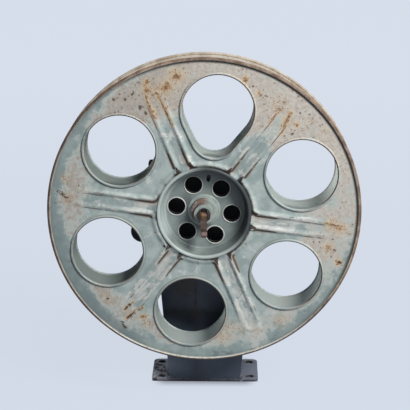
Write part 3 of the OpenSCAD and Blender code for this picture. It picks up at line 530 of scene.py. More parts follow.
def lip_wear(net, at, colour):
    """Lips of the holes: a dark line at the foot that is partly dirt and partly painted shade, painted shade on
    the flank away from the light, rubbed on top, brown on the side of the hole.
    """
    # The dark line at the foot is partly dirt and partly painted shade, weaker towards the upper right
    foot = net.times(net.fade(at.lip_gap, 0.9, 1.7), net.fade(at.lip_gap, 3.2, 2.2), at.outer)
    foot = net.times(foot, net.level(at.high_right, 0.45, 0.1))
    # Painted shade on the flank of the roll that faces away from the light
    roll_lee = net.times(net.fade(at.lip_gap, 3.6, 2.0), net.fade(at.lee, 0.15, 0.75), at.outer)
    shade = net.most(net.times(foot, net.level(at.crumb, 0.2, 1.0)), net.times(roll_lee, 0.7))
    colour = net.mix(shade, colour, srgb(64, 54, 45))
    on_top = net.times(net.fade(at.lip_gap, 2.0, 1.2), net.fade(at.lee, 0.3, -0.3))
    on_top = net.times(on_top, net.level(at.high_right, 0.45, 0.0), net.fade(at.cloud, 0.42, 0.6), at.front)
    colour = net.mix(on_top, colour, srgb(132, 120, 106))
    in_hole = net.times(net.fade(at.lip_gap, 0.2, -0.7), net.level(at.cloud, 0.7, 1.3), at.front)
    in_hole = net.times(in_hole, net.fade(at.lee, -0.6, 0.1))
    return net.mix(in_hole, colour, net.mix(at.grain, srgb(96, 76, 60), srgb(62, 48, 38)))


def rim_wear(net, at, colour):
    """The wired rim: a dark foot that is partly dirt and partly a painted shadow, strongest at the upper right, a
    beige crown, and a brown outer side that is painted darker on the side away from the light.
    """
    # Dark foot, partly dirt and partly the painted shadow of the roll, strongest at the upper right
    foot = net.times(net.fade(at.rim_gap, 1.2, 2.2), net.fade(at.rim_gap, 6.0, 3.0))
    foot = net.times(foot, net.level(at.high_right, 0.15, 1.0), at.outer)
    colour = net.mix(net.times(foot, 0.95), colour, srgb(44, 38, 34))
    crown = net.tones(at.cloud, srgb(186, 172, 154), srgb(142, 120, 101), 0.1)
    crown = net.mix(net.times(at.bottom, net.fade(at.crumb, 0.62, 0.5)), crown, srgb(190, 187, 178))
    colour = net.mix(net.fade(at.rim_gap, 2.2, 1.2), colour, crown)
    # Away from the light the outer side reaches further in and is painted darker brown, as shade
    away_from_light = net.times(net.fade(at.high_right, 0.7, 0.3), at.front)
    start = net.level(at.bottom, net.level(away_from_light, 1.1, 1.7), 0.9)
    end = net.level(at.bottom, net.level(away_from_light, -0.4, 0.5), -0.1)
    patchy = net.level(at.crumb, net.level(away_from_light, 0.6, 0.85), 1.0)
    side = net.times(net.fade(at.rim_gap, start, end), patchy)
    brown = net.tones(at.cloud, srgb(122, 93, 72), srgb(80, 59, 47), 0.1)
    brown_in_shade = net.tones(at.cloud, srgb(78, 60, 51), srgb(54, 45, 41), 0.1)
    rear_grey = net.tones(at.cloud, srgb(184, 172, 156), srgb(156, 140, 123), 0.1)
    side_tone = net.mix(at.front, rear_grey, net.mix(away_from_light, brown, brown_in_shade))
    return net.mix(side, colour, side_tone), side


def film_rub(net, at, colour):
    """The film side by the rim, rubbed bare by the edge of the film."""
    rubbed = net.times(at.inner, net.fade(at.rim_gap, 13, 8), at.high)
    blotch = net.add(at.cloud, net.times(at.ragged, 0.1))
    tone = net.tones(blotch, srgb(206, 196, 181), srgb(182, 166, 148), 0.1)
    rusty = net.times(net.fade(at.rim_gap, 5, 9), net.level(at.crumb, 0.2, 0.7))
    tone = net.mix(rusty, tone, srgb(154, 118, 88))
    specks = net.use(SPECKLE, Vector=at.place, Spacing=3.2, Amount=net.times(rubbed, 0.5))
    colour = net.mix(net.times(rubbed, 0.9), colour, tone)
    return net.mix(net.times(specks, 0.6), colour, srgb(108, 84, 66))


def reel_paint():
    """Grey-green paint on pressed steel, worn to primer on the panels, brown in creases and at the rim, with
    painted shade and painted highlights where the pressing faces away from or towards the light.
    """
    made, net, shader = finish_material("reel_paint")
    at = FlangeFields(net)
    colour, slate_and_shade, band = slate_and_painted_shade(net, at, chalky_coat(net, at))
    colour, worn = primer_wear(net, at, colour, slate_and_shade, band)
    colour, crown = rubbed_and_lit_bead_crowns(net, at, colour)
    colour, pits = brown_speckle(net, at, colour, worn, crown)
    colour, rust, dark = rust_stains(net, at, colour)
    colour, stain = bead_dirt(net, at, colour)
    colour, dirt = hub_dirt(net, at, colour)
    colour, rim_side = rim_wear(net, at, lip_wear(net, at, colour))
    colour = film_rub(net, at, colour)
    dull = net.most(net.times(rust, 0.8), dark, dirt, stain, rim_side, net.times(pits, 0.8))
    roughness = net.level(dull, net.level(worn, 0.5, 0.66), 0.84)
    height = net.add(net.times(at.grain, 0.35), net.times(pits, -0.5))
    net.dress(shader, colour, roughness, net.bump(height, 0.16))
    return made


# Finishes of the hub and the spindle

# The directions of the cup's painted shade and painted light, seen from the front
CUP_SHADED = (0.85, 0.0, 0.53)
CUP_LIT = (-0.9, 0.0, 0.43)


def closed_space(net, depth, reach):
    """The backs of both cup floors inside the drum, which the hub paint turns near-black as painted shade."""
    facing = net.parts(net.node("ShaderNodeNewGeometry").outputs["Normal"])[1]
    backs = []
    for side in (-1, 1):
        behind = net.fade(depth, side * 4.35 * MM, side * 4.1 * MM)
        within = net.fade(depth, -side * 7 * MM, -side * 6 * MM)
        backs.append(net.times(behind, within, net.fade(facing, -side * 0.4, -side * 0.2)))
    return net.times(net.most(*backs), net.fade(reach, 47 * MM, 46 * MM))


def hub_paint():
    """The same paint in the hub: cleaner, with rubbed edges, painted shade on the right wall and left of the boss,
    painted light on the upper left wall and on the mouth, and near-black painted shade inside the drum.
    """
    made, net, shader = finish_material("hub_paint")
    place = net.place()
    cloud = net.noise(place, 22, 5.0, 0.6, 0.3)
    grain = net.noise(place, 1.6, 4.0, 0.7)
    edge, soft = worn_edge(net, place, 0.9, 0.6, 0.7)
    centred = net.vector("SUBTRACT", place, REEL_MIDDLE)
    depth = net.parts(centred)[1]
    flat = net.vector("MULTIPLY", centred, (1.0, 0.0, 1.0))
    reach = net.vector("LENGTH", flat, NO_PLACE, "Value")
    lean, lit_lean = net.dot(flat, CUP_SHADED), net.dot(flat, CUP_LIT)

    # Painted shadow left of the boss, painted light on the wall at the upper left and painted shade on the wall at
    # the right
    colour = net.tones(cloud, srgb(106, 115, 113), srgb(126, 136, 132))
    boss_shadow = net.times(net.fade(reach, 38 * MM, 22 * MM), net.fade(lean, 2 * MM, -14 * MM), 0.6)
    colour = net.mix(boss_shadow, colour, srgb(62, 68, 68))
    lit_wall = net.times(net.fade(reach, 44 * MM, 50 * MM), net.fade(lit_lean, 18 * MM, 38 * MM))
    colour = net.mix(net.times(lit_wall, net.level(cloud, 0.7, 1.1)), colour, srgb(164, 174, 170))
    specks = net.use(SPECKLE, Vector=place, Spacing=4.0, Amount=0.25)
    flakes = net.use(FLAKES, Vector=place, Size=14.0, Amount=0.12, Softness=0.05)
    colour = net.mix(edge, colour, srgb(180, 183, 175))
    colour = net.mix(net.times(specks, 0.5), colour, srgb(96, 80, 68))
    colour = net.mix(net.times(flakes, 0.5), colour, srgb(186, 178, 168))
    wall = net.times(net.fade(reach, 34 * MM, 52 * MM), net.fade(lean, -14 * MM, 38 * MM))
    colour = net.mix(net.times(wall, net.level(cloud, 0.8, 1.05)), colour, srgb(48, 53, 54))

    # A darker line at the bend of the floor, painted light on the rolled mouth away from the shaded side, and
    # near-black painted shade between the cups
    off_bend = net.size(net.minus(reach, 49.6 * MM))
    colour = net.mix(net.times(net.fade(off_bend, 0.9 * MM, 0.3 * MM), 0.4), colour, srgb(66, 72, 70))
    mouth = net.times(net.fade(net.size(depth), 19.6 * MM, 21.6 * MM), net.fade(lean, 32 * MM, -4 * MM))
    mouth_lit_tone = net.mix(flakes, srgb(172, 181, 176), srgb(205, 202, 194))
    colour = net.mix(net.times(mouth, net.level(cloud, 0.5, 1.0)), colour, mouth_lit_tone)
    colour = net.mix(closed_space(net, depth, reach), colour, srgb(13, 13, 14))
    height = net.add(net.times(grain, 0.4), flakes)
    net.dress(shader, colour, net.level(flakes, 0.44, 0.7), net.bump(height, 0.08, soft))
    return made


def pale_lip_highlight():
    """Pale paint on the small lips of the cup's holes, partly rubbed paint and partly a painted highlight."""
    made, net, shader = finish_material("pale_lip_highlight")
    cloud = net.noise(net.place(), 6, 5.0, 0.62, 0.4)
    colour = net.tones(cloud, srgb(158, 164, 158), srgb(202, 200, 190))
    net.dress(shader, colour, net.level(cloud, 0.4, 0.6), net.bump(cloud, 0.06))
    return made


def boss_paint():
    """Paint on the boss round the spindle, rubbed to rusty steel where the latch and the fingers touch it."""
    made, net, shader = finish_material("boss_paint")
    place = net.place()
    cloud = net.noise(place, 9, 5.0, 0.62, 0.4)
    grain = net.noise(place, 1.2, 4.0, 0.7)
    edge, soft = worn_edge(net, place, 1.8, 1.0, 0.8)
    x, y, z = net.parts(net.vector("SUBTRACT", place, REEL_MIDDLE))
    left = net.fade(net.minus(x, net.times(z, 0.5)), 4 * MM, -12 * MM)
    depth = net.size(y)
    walls = net.times(net.fade(depth, 25.8 * MM, 25.0 * MM), net.fade(depth, 7.0 * MM, 9.0 * MM))
    colour = net.tones(cloud, srgb(128, 139, 135), srgb(152, 161, 155))
    rust_tone = net.tones(grain, srgb(134, 98, 80), srgb(66, 44, 35), 0.1)
    by_latch = net.times(left, walls, net.fade(cloud, 0.36, 0.5), 0.9)
    handled = net.most(net.times(edge, net.fade(cloud, 0.44, 0.6), walls), by_latch)
    colour = net.mix(handled, colour, rust_tone)
    height = net.times(grain, 0.6)
    net.dress(shader, colour, net.level(handled, 0.5, 0.74), net.bump(height, 0.1, soft))
    return made


# Marks on the latch, a dark band of grime and painted shade and a painted highlight at the tip: how far below its
# pivot, half width, radius and tone
LATCH_SHADE_AND_HIGHLIGHT = ((17.5, 4.0, 2.2, srgb(36, 29, 25)), (22.5, 1.5, 2.6, srgb(176, 146, 136)))


def worn_steel():
    """Bare steel gone dull and brown, brighter where it is rubbed, with a dark band of grime and painted shade and
    a painted highlight on the latch.
    """
    made, net, shader = finish_material("worn_steel")
    place = net.place()
    cloud = net.noise(place, 6, 5.0, 0.62, 0.4)
    grain = net.noise(place, 0.9, 4.0, 0.7)
    edge, soft = worn_edge(net, place, 0.6, 0.9, 0.5)
    rust = net.use(FLAKES, Vector=place, Size=7.0, Amount=0.5, Softness=0.12)
    colour = net.tones(cloud, srgb(70, 57, 50), srgb(112, 94, 83))
    colour = net.mix(net.times(rust, 0.85), colour, net.mix(grain, srgb(104, 68, 48), srgb(52, 35, 27)))
    colour = net.mix(net.times(edge, 0.5), colour, srgb(160, 138, 122))
    pivot = net.use(STAIN, "Share", Vector=place, From=LATCH_MIDDLE, To=LATCH_MIDDLE, Radius=4.6)
    colour = net.mix(net.times(net.fade(net.add(pivot, cloud), 1.5, 1.2), 0.8), colour, srgb(142, 100, 48))
    for drop, width, radius, tone in LATCH_SHADE_AND_HIGHLIGHT:
        start, end = (LATCH_MIDDLE + Vector((side * width + 1.0, -3.0, -drop)) * MM for side in (-1, 1))
        mark = net.use(STAIN, "Share", Vector=place, From=start, To=end, Radius=radius)
        marked = net.fade(net.add(mark, net.times(cloud, 0.8)), 1.5, 0.9)
        colour = net.mix(net.times(marked, 0.6), colour, tone)
    height = net.add(net.times(grain, 0.6), net.times(rust, 0.5))
    normal = net.bump(height, 0.12, soft)
    net.dress(shader, colour, net.level(rust, 0.42, 0.8), normal, net.level(rust, 0.75, 0.1))
    return made


def oily_steel():
    """Dark steel under old oil, as on the end of the spindle."""
    made, net, shader = finish_material("oily_steel")
    place = net.place()
    cloud = net.noise(place, 5, 5.0, 0.62, 0.4)
    edge, soft = worn_edge(net, place, 0.6, 0.8, 0.5)
    colour = net.tones(cloud, srgb(30, 26, 23), srgb(58, 47, 40))
    colour = net.mix(net.times(edge, 0.6), colour, srgb(126, 104, 84))
    net.dress(shader, colour, net.level(cloud, 0.34, 0.6), net.bump(cloud, 0.08, soft), 0.5)
    return made


def painted_shade_plate():
    """Near-black painted shade on the plate behind the reel, mottled a little."""
    made, net, shader = finish_material("painted_shade_plate")
    cloud = net.noise(net.place(), 8, 5.0, 0.62, 0.4)
    colour = net.tones(cloud, srgb(9, 9, 10), srgb(20, 18, 17))
    net.dress(shader, colour, net.level(cloud, 0.6, 0.85), net.bump(cloud, 0.1))
    return made


# Finishes of the stand

# The pedestal's front face, the seam down it and the grease that has run from the bearing
FACE_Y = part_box("pedestal")[0].y
SEAM_X = -12.0
GREASE = Vector((-27.0, 0.0, 133.0)) * MM
GREASE_SPREAD = 26.0
BOLT_ROWS = (-24 * MM, 24 * MM)
PLATE_LEVEL = (9 * MM, 5 * MM)


def plate_wear(net, place, cloud, under, colour):
    """The base plate: dust, a left ear chipped through, rusty bolt holes, and chips along the right weld."""
    x, _, z = net.parts(place)
    low = net.fade(z, *PLATE_LEVEL)
    ear = net.times(low, net.fade(x, -40 * MM, -55 * MM))
    chips = net.use(FLAKES, Vector=place, Size=9.0, Amount=net.level(ear, 0.1, 0.48), Softness=0.03)
    bare = net.mix(under, net.mix(ear, srgb(150, 148, 150), srgb(58, 48, 44)), srgb(62, 44, 38))
    colour = net.mix(net.times(ear, 0.7), colour, srgb(152, 157, 165))
    colour = net.mix(net.times(chips, 0.9), colour, bare)
    ends = [((51 * MM, y, 0), (62 * MM, y, 0)) for y in BOLT_ROWS]
    holes = [net.use(STAIN, "Share", Vector=place, From=start, To=end, Radius=9.0) for start, end in ends]
    rusty = net.fade(net.add(net.least(*holes), net.times(cloud, 1.6)), 1.6, 1.2)
    rust_tone = net.mix(under, srgb(52, 42, 40), srgb(96, 68, 56))
    colour = net.mix(net.times(rusty, low, 0.8), colour, rust_tone)
    weld = net.times(net.fade(x, 46 * MM, 47 * MM), net.fade(x, 52 * MM, 50 * MM), low)
    weld_chips = net.use(FLAKES, Vector=place, Size=4.0, Amount=0.5, Softness=0.05)
    return net.mix(net.times(weld, weld_chips, 0.8), colour, srgb(172, 178, 188)), chips


def face_wear(net, place, cloud, grain, colour):
    """The pedestal's front: a rusty seam, the painted shadow of the reel on it, and grease beside the seam."""
    x, y, z = net.parts(place)
    seam = net.size(net.minus(x, SEAM_X * MM))
    front = net.fade(y, FACE_Y + 0.4 * MM, FACE_Y)
    seam_line = net.times(net.fade(seam, 2.2 * MM, 0.2 * MM), front, net.fade(cloud, 0.36, 0.6))
    seam_rust = net.times(net.fade(seam, 9 * MM, 1 * MM), front, net.fade(cloud, 0.42, 0.6))
    # Painted shadow of the reel on the face, fading in above 62 mm: near-black low down and less dark above about
    # 110 mm
    darkened = net.times(front, net.fade(z, 62 * MM, 100 * MM))
    painted_shadow_low = net.times(darkened, net.fade(net.add(z, net.times(cloud, 20 * MM)), 119 * MM, 106 * MM))
    shadow_tone = net.mix(painted_shadow_low, srgb(54, 61, 74), srgb(6, 8, 11))
    colour = net.mix(net.times(darkened, 0.92), colour, shadow_tone)
    colour = net.mix(net.times(seam_rust, 0.5), colour, srgb(66, 50, 42))
    colour = net.mix(net.times(seam_line, 0.5), colour, srgb(34, 28, 26))
    spot = GREASE + Vector((0, FACE_Y, 0))
    off_grease = net.use(STAIN, "Share", Vector=place, From=spot, To=spot, Radius=GREASE_SPREAD)
    grease = net.fade(net.add(off_grease, net.times(net.add(cloud, grain), 0.9)), 1.75, 1.25)
    grease_tone = net.tones(grain, srgb(12, 9, 7), srgb(38, 28, 20), 0.1)
    return net.mix(net.times(grease, 0.9), colour, grease_tone), seam_line


def stand_paint():
    """Dark blue-grey enamel, chipped to brown primer and steel at edges, holes and welds."""
    made, net, shader = finish_material("stand_paint")
    place = net.place()
    cloud = net.noise(place, 30, 5.0, 0.6, 0.3)
    grain = net.noise(place, 1.4, 4.0, 0.7)
    edge, soft = worn_edge(net, place, 1.6, 0.9, 0.9)
    under = net.use(FLAKES, Vector=place, Size=5.0, Amount=0.45, Softness=0.08)
    x, _, z = net.parts(place)
    colour = net.tones(cloud, srgb(56, 64, 77), srgb(73, 82, 95))
    # Dust and a painted reflection of the bright room: lighter blue-grey on the upward faces near the ground
    dust_and_sheen = net.times(net.fade(z, 12 * MM, 4 * MM), net.fade(net.parts(soft)[2], 0.4, 0.9))
    dust_and_sheen = net.times(dust_and_sheen, net.level(cloud, 0.5, 1.0))
    colour = net.mix(net.times(dust_and_sheen, 0.75), colour, srgb(130, 138, 152))
    colour, chips = plate_wear(net, place, cloud, under, colour)

    # The rubbed top left corner, the rusty line along the foot, and the edges
    crest = net.times(net.fade(x, -50 * MM, -66 * MM), net.fade(z, 270 * MM, 285 * MM))
    crest = net.times(crest, net.level(cloud, 0.6, 1.2))
    colour = net.mix(net.times(crest, 0.8), colour, srgb(126, 106, 98))
    foot_line = net.times(net.fade(z, 1.6 * MM, 0.3 * MM), net.level(cloud, 0.4, 1.0))
    colour = net.mix(net.times(foot_line, 0.8), colour, srgb(112, 72, 58))
    colour = net.mix(edge, colour, net.mix(under, srgb(140, 138, 140), srgb(92, 66, 54)))

    colour, seam_line = face_wear(net, place, cloud, grain, colour)
    specks = net.use(SPECKLE, Vector=place, Spacing=7.0, Amount=0.3)
    colour = net.mix(net.times(specks, 0.5), colour, srgb(34, 31, 31))
    wear = net.most(chips, edge, seam_line)
    roughness = net.level(wear, net.level(cloud, 0.34, 0.5), 0.75)
    height = net.add(net.times(grain, 0.3), net.times(wear, -0.8))
    net.dress(shader, colour, roughness, net.bump(height, 0.18, soft))
    net.feed(shader.inputs["Specular IOR Level"], 0.4)
    return made


def crank_paint():
    """Black enamel, rubbed grey along the edges."""
    made, net, shader = finish_material("crank_paint")
    place = net.place()
    cloud = net.noise(place, 20, 5.0, 0.6)
    grain = net.noise(place, 1.4, 4.0, 0.7)
    edge, soft = worn_edge(net, place, 1.0, 0.9, 0.8)
    chips = net.use(FLAKES, Vector=place, Size=8.0, Amount=0.12, Softness=0.03)
    colour = net.tones(cloud, srgb(22, 23, 26), srgb(40, 41, 45))
    bare = net.most(net.times(edge, 0.9), net.times(chips, 0.8))
    colour = net.mix(bare, colour, srgb(120, 110, 104))
    height = net.add(net.times(grain, 0.3), net.times(chips, -0.7))
    roughness = net.level(net.most(edge, chips), 0.32, 0.6)
    net.dress(shader, colour, roughness, net.bump(height, 0.14, soft))
    return made


def gear_steel():
    """Cut steel under old oil."""
    made, net, shader = finish_material("gear_steel")
    place = net.place()
    cloud = net.noise(place, 12, 5.0, 0.6, 0.4)
    turned = net.noise(net.stretched(place, (1.0, 14.0, 1.0)), 5, 4.0, 0.6)
    edge, soft = worn_edge(net, place, 0.4, 0.8, 0.4)
    darkened = net.use(FLAKES, Vector=place, Size=16.0, Amount=0.45, Softness=0.2)
    colour = net.tones(cloud, srgb(126, 120, 112), srgb(152, 147, 138))
    colour = net.mix(net.times(darkened, 0.75), colour, srgb(58, 46, 34))
    colour = net.mix(net.times(edge, 0.6), colour, srgb(190, 186, 178))
    normal = net.bump(turned, 0.05, soft)
    net.dress(shader, colour, net.level(darkened, 0.38, 0.22), normal, net.level(darkened, 0.95, 0.5))
    return made


def bush_bronze():
    """Turned bronze, dull, with dark oil at the bore."""
    made, net, shader = finish_material("bush_bronze")
    place = net.place()
    cloud = net.noise(place, 7, 5.0, 0.6, 0.4)
    turned = net.noise(net.stretched(place, (1.0, 20.0, 1.0)), 4, 4.0, 0.6)
    edge, soft = worn_edge(net, place, 0.5, 0.9, 0.4)
    dirt = net.use(FLAKES, Vector=place, Size=8.0, Amount=0.4, Softness=0.2)
    colour = net.tones(cloud, srgb(132, 98, 52), srgb(168, 132, 78))
    colour = net.mix(net.times(dirt, 0.7), colour, srgb(66, 50, 34))
    colour = net.mix(net.times(edge, 0.6), colour, srgb(208, 176, 120))
    normal = net.bump(turned, 0.05, soft)
    net.dress(shader, colour, net.level(dirt, 0.36, 0.6), normal, net.level(dirt, 0.9, 0.3))
    return made


def grip_wood():
    """Dark stained hardwood, turned and varnished, worn paler where the palm runs."""
    made, net, shader = finish_material("grip_wood")
    place = net.place()
    centred = net.node("ShaderNodeMapping", {"Vector": place, "Location": tuple(-GRIP_MIDDLE)}).outputs[0]
    figure = net.noise(net.stretched(centred, (1.0, 0.09, 1.0)), 3.2, 6.0, 0.62, 1.2)
    pores = net.fade(net.noise(net.stretched(centred, (1.0, 0.05, 1.0)), 0.7, 3.0, 0.6), 0.58, 0.66)
    worn = net.use(FLAKES, Vector=place, Size=24.0, Amount=0.4, Softness=0.18)
    colour = net.tones(figure, srgb(38, 24, 17), srgb(76, 48, 32), 0.14)
    colour = net.mix(net.times(worn, 0.55), colour, srgb(112, 78, 52))
    colour = net.mix(net.times(pores, 0.7), colour, srgb(20, 13, 10))
    height = net.add(net.times(figure, 0.3), net.times(pores, -0.8))
    net.dress(shader, colour, net.level(worn, 0.3, 0.55), net.bump(height, 0.12))
    return made


# Flanges

# How far apart the points of the flange meshes lie
END_PITCH = 1.7
BEND_PITCH = 1.3
BEAD_PITCH = 2.6
HOLE_STEP = 3.2
RIM_STEP = 4.0
PANEL_PITCH = 7.0
ROLL_STEP = 3.3
LIP_STEP = 2.8

# Rows of points beside the bead's middle line, as shares of its foot, and round the holes, rim and hub
BEAD_ROWS = [i / 4 for i in range(-5, 6)]
HOLE_ROWS = (0.0, 2.2, 3.8, 6.0, 9.0)
RIM_ROWS = (0.0, 2.2, 3.8, 6.5, 11.0)
HUB_ROWS = (0.0, 1.5, 3.3, 5.3)

# Where the beads begin to fall towards the rim, and how wide the sheet rises to the cup's mouth
FALL_FROM = 85.0
MOUTH_SPREAD = 5.3
MOUTH_SIDE = 4.0

# Waves that use has bent into the flange: height, number round the rim and shift
BENDS = ((0.5, 2, 1.0), (0.35, 3, 2.1), (0.2, 5, 1.0))

# Keeps the streaks of one spoke unlike those of the next
STREAK_SHIFT = 200


def on_spoke(u, v):
    """How far a place lies along and across its nearest spoke."""
    turn = math.atan2(v, u)
    turn -= SPOKE_STEP * round(turn / SPOKE_STEP)
    reach = math.hypot(u, v)
    return reach * math.cos(turn), reach * math.sin(turn)


def bead_gap(u, v):
    """How far a place on the flange lies from the middle line of the bead."""
    reach = math.hypot(u, v)
    x, y = on_spoke(u, v)
    y = abs(y)
    along = min(max(x, BEND_ALONG), SPOKE_CLOSE)
    gaps = [math.hypot(x - along, y - SPOKE_HALF)]
    if x >= SPOKE_CLOSE:
        gaps.append(abs(math.hypot(x - SPOKE_CLOSE, y) - SPOKE_HALF))
    if math.atan2(y, x) >= BEND_ANGLE:
        gaps.append(abs(reach - HUB_BEAD))
    dx, dy = x - BEND_ALONG, y - BEND_ACROSS
    if dx <= 0 and dy <= 0 and math.atan2(dy, dx) >= BEND_ANGLE - math.pi:
        gaps.append(abs(math.hypot(dx, dy) - BEAD_BEND))
    return min(gaps)


def round_holes():
    """Centres of the five round holes, midway between the spokes."""
    turns = [(i + 0.5) * SPOKE_STEP for i in range(SPOKES) if i != 1]
    return [(HOLE_PITCH * math.cos(a), HOLE_PITCH * math.sin(a)) for a in turns]


def lip_gap(u, v):
    """How far a place lies outside the nearest hole's lip, less than 0 inside the hole."""
    gaps = [math.hypot(u - x, v - y) - HOLE_PATH for x, y in round_holes()]
    spread = HOLE_PITCH - TEAR_AT
    lean = (TEAR_PATH - HOLE_PATH) / spread
    rise = math.sqrt(1 - lean * lean)
    x, y = abs(u), v - TEAR_AT
    share = rise * y - lean * x
    if share < 0:
        gaps.append(math.hypot(x, y) - TEAR_PATH)
    elif share > rise * spread:
        gaps.append(math.hypot(x, y - spread) - HOLE_PATH)
    else:
        gaps.append(rise * x + lean * y - TEAR_PATH)
    return min(gaps)


def steps(length, pitch):
    """Even shares of a length, both ends included."""
    count = max(2, math.ceil(length / pitch))
    return [i / count for i in range(count + 1)]


def circle_line(centre, radius, pitch):
    """Points round a circle."""
    count = max(12, math.ceil(math.tau * radius / pitch))
    turns = [math.tau * i / count for i in range(count)]
    return [(centre[0] + radius * math.cos(a), centre[1] + radius * math.sin(a)) for a in turns]


def tear_line(outset, pitch):
    """Points round the teardrop hole, moved out from its lip."""
    points = []
    ends = [(HOLE_PITCH, HOLE_PATH, -TEAR_LEAN, math.pi + TEAR_LEAN)]
    ends.append((TEAR_AT, TEAR_PATH, math.pi + TEAR_LEAN, math.tau - TEAR_LEAN))
    for middle, radius, start, end in ends:
        radius += outset
        for share in steps(radius * (end - start), pitch):
            a = start + share * (end - start)
            points.append((radius * math.cos(a), middle + radius * math.sin(a)))
    loop = []
    for here, there in zip(points, points[1:] + points[:1]):
        span = math.hypot(there[0] - here[0], there[1] - here[1])
        shares = [0.0] if span < 1.5 * pitch else steps(span, pitch)[:-1]
        loop += [(here[0] + t * (there[0] - here[0]), here[1] + t * (there[1] - here[1])) for t in shares]
    return loop


def bead_line():
    """Places along half of a spoke's bead and half of a hub side, with the direction to the panel there."""
    line = []
    for share in steps(SPOKE_HALF * math.pi / 2, END_PITCH):
        a = share * math.pi / 2
        c, s = math.cos(a), math.sin(a)
        line.append((SPOKE_CLOSE + SPOKE_HALF * c, SPOKE_HALF * s, c, s))
    for share in steps(SPOKE_CLOSE - BEND_ALONG, BEAD_PITCH):
        line.append((SPOKE_CLOSE + share * (BEND_ALONG - SPOKE_CLOSE), SPOKE_HALF, 0.0, 1.0))
    for share in steps(BEAD_BEND * (math.pi / 2 - BEND_ANGLE), BEND_PITCH):
        a = 1.5 * math.pi + share * (BEND_ANGLE - math.pi / 2)
        c, s = math.cos(a), math.sin(a)
        line.append((BEND_ALONG + BEAD_BEND * c, BEND_ACROSS + BEAD_BEND * s, -c, -s))
    for share in steps(HUB_BEAD * (SPOKE_STEP / 2 - BEND_ANGLE), BEAD_PITCH):
        a = BEND_ANGLE + share * (SPOKE_STEP / 2 - BEND_ANGLE)
        c, s = math.cos(a), math.sin(a)
        line.append((HUB_BEAD * c, HUB_BEAD * s, c, s))
    return line


def bead_points():
    """Rows of points beside every bead, on both sides of each spoke."""
    points = []
    for x, y, across, up in bead_line():
        for share in BEAD_ROWS:
            shift = share * BEAD_FOOT
            for i in range(SPOKES):
                c, s = math.cos(i * SPOKE_STEP), math.sin(i * SPOKE_STEP)
                for flip in (-1, 1):
                    px, py = x + shift * across, flip * (y + shift * up)
                    points.append((px * c - py * s, px * s + py * c))
    return points


def panel_points():
    """An even grid of points on the flat panels, clear of the beads, the lips and the rim."""
    points = []
    rows = math.ceil(RIM_PATH / (PANEL_PITCH * 0.866))
    columns = math.ceil(RIM_PATH / PANEL_PITCH)
    for row in range(-rows, rows + 1):
        for column in range(-columns, columns + 1):
            u, v = (column + 0.5 * (row % 2)) * PANEL_PITCH, row * PANEL_PITCH * 0.866
            if bead_gap(u, v) > 8.5 and lip_gap(u, v) > 12 and math.hypot(u, v) < RIM_PATH - 14:
                points.append((u, v))
    return points


def sheet_points():
    """Points of the pressed sheet, close together where it bends and far apart where it is flat."""
    points = bead_points()
    for outset in HOLE_ROWS:
        for hole in round_holes():
            points += circle_line(hole, HOLE_PATH + outset, HOLE_STEP)
        points += tear_line(outset, HOLE_STEP)
    for inset in RIM_ROWS:
        points += circle_line((0, 0), RIM_PATH - inset, RIM_STEP)
    for outset in HUB_ROWS:
        points += circle_line((0, 0), HUB_OPEN + outset, BEAD_PITCH)
    kept = {}
    for u, v in points + panel_points():
        inside = HUB_OPEN - 0.01 <= math.hypot(u, v) <= RIM_PATH + 0.01 and lip_gap(u, v) > -0.01
        if inside:
            kept.setdefault((round(u, 1), round(v, 1)), (u, v))
    return list(kept.values())


def limited(share):
    """A share kept between 0 and 1."""
    return min(1.0, max(0.0, share))


def eased(share):
    """A share that starts and ends gently."""
    return share * share * (3 - 2 * share)


def pressed(u, v):
    """Height that the press gives the sheet: beads that fall towards the rim, and a rise to the mouth."""
    reach = math.hypot(u, v)
    gap = bead_gap(u, v)
    out = limited((reach - FALL_FROM) / (SPOKE_CLOSE - FALL_FROM))
    deep = max(0.0, math.cos(math.atan2(v, u) + SPOKE_STEP)) ** 4
    fall = 0.9 - 0.25 * deep
    ring = 0.6 if reach < HUB_BEAD + BEAD_FOOT and gap == abs(reach - HUB_BEAD) else 1.0
    near = limited((HUB_OPEN + MOUTH_SPREAD - reach) / MOUTH_SPREAD)
    between = limited((SPOKE_HALF - abs(on_spoke(u, v)[1])) / MOUTH_SIDE)
    bead = BEAD_RISE * ring * (1 - fall * out) * eased(max(0.0, 1 - gap / BEAD_FOOT))
    return bead + (0.4 + 1.6 * between) * eased(near)


def knocks(u, v, seed):
    """How far years of use have bent the flange out of flat, nothing at the hub and most at the rim."""
    turn = math.atan2(v, u)
    reach = (math.hypot(u, v) / RIM_PATH) ** 3
    return reach * sum(height * math.sin(count * turn + shift * seed) for height, count, shift in BENDS)


def climb(height, u, v, heading):
    """How steeply a height over the flange rises in a heading, in degrees from the right in front."""
    a = math.radians(heading) - REEL_TURN
    du, dv = 0.6 * math.cos(a), 0.6 * math.sin(a)
    return (height(u + du, v + dv) - height(u - du, v - dv)) / 1.2


def hang(u, v):
    """How far a bead hangs over a place: over its lower flank, on the lowest spoke over both outer ones."""
    if round(math.atan2(v, u) / SPOKE_STEP) == -1:
        return 0.6 if abs(on_spoke(u, v)[1]) > SPOKE_HALF else -0.6
    return -climb(bead_gap, u, v, 82.5)


def edge_distances(u, v):
    """What the paint needs to know about a place on a flange."""
    along, across = on_spoke(u, v)
    return {
        "bead_gap": bead_gap(u, v),
        "lip_gap": lip_gap(u, v),
        "rim_gap": RIM_PATH - math.hypot(u, v),
        # lee: how steeply the sheet rises towards the key lamp; the paint uses it for painted shade and painted
        # highlights
        "lee": climb(pressed, u, v, 45),
        "under": hang(u, v),
        "channel": 1.0 if abs(across) < SPOKE_HALF and along < SPOKE_CLOSE else 0.0,
        "along": along + STREAK_SHIFT * round(math.atan2(v, u) / SPOKE_STEP),
        "across": across,
    }


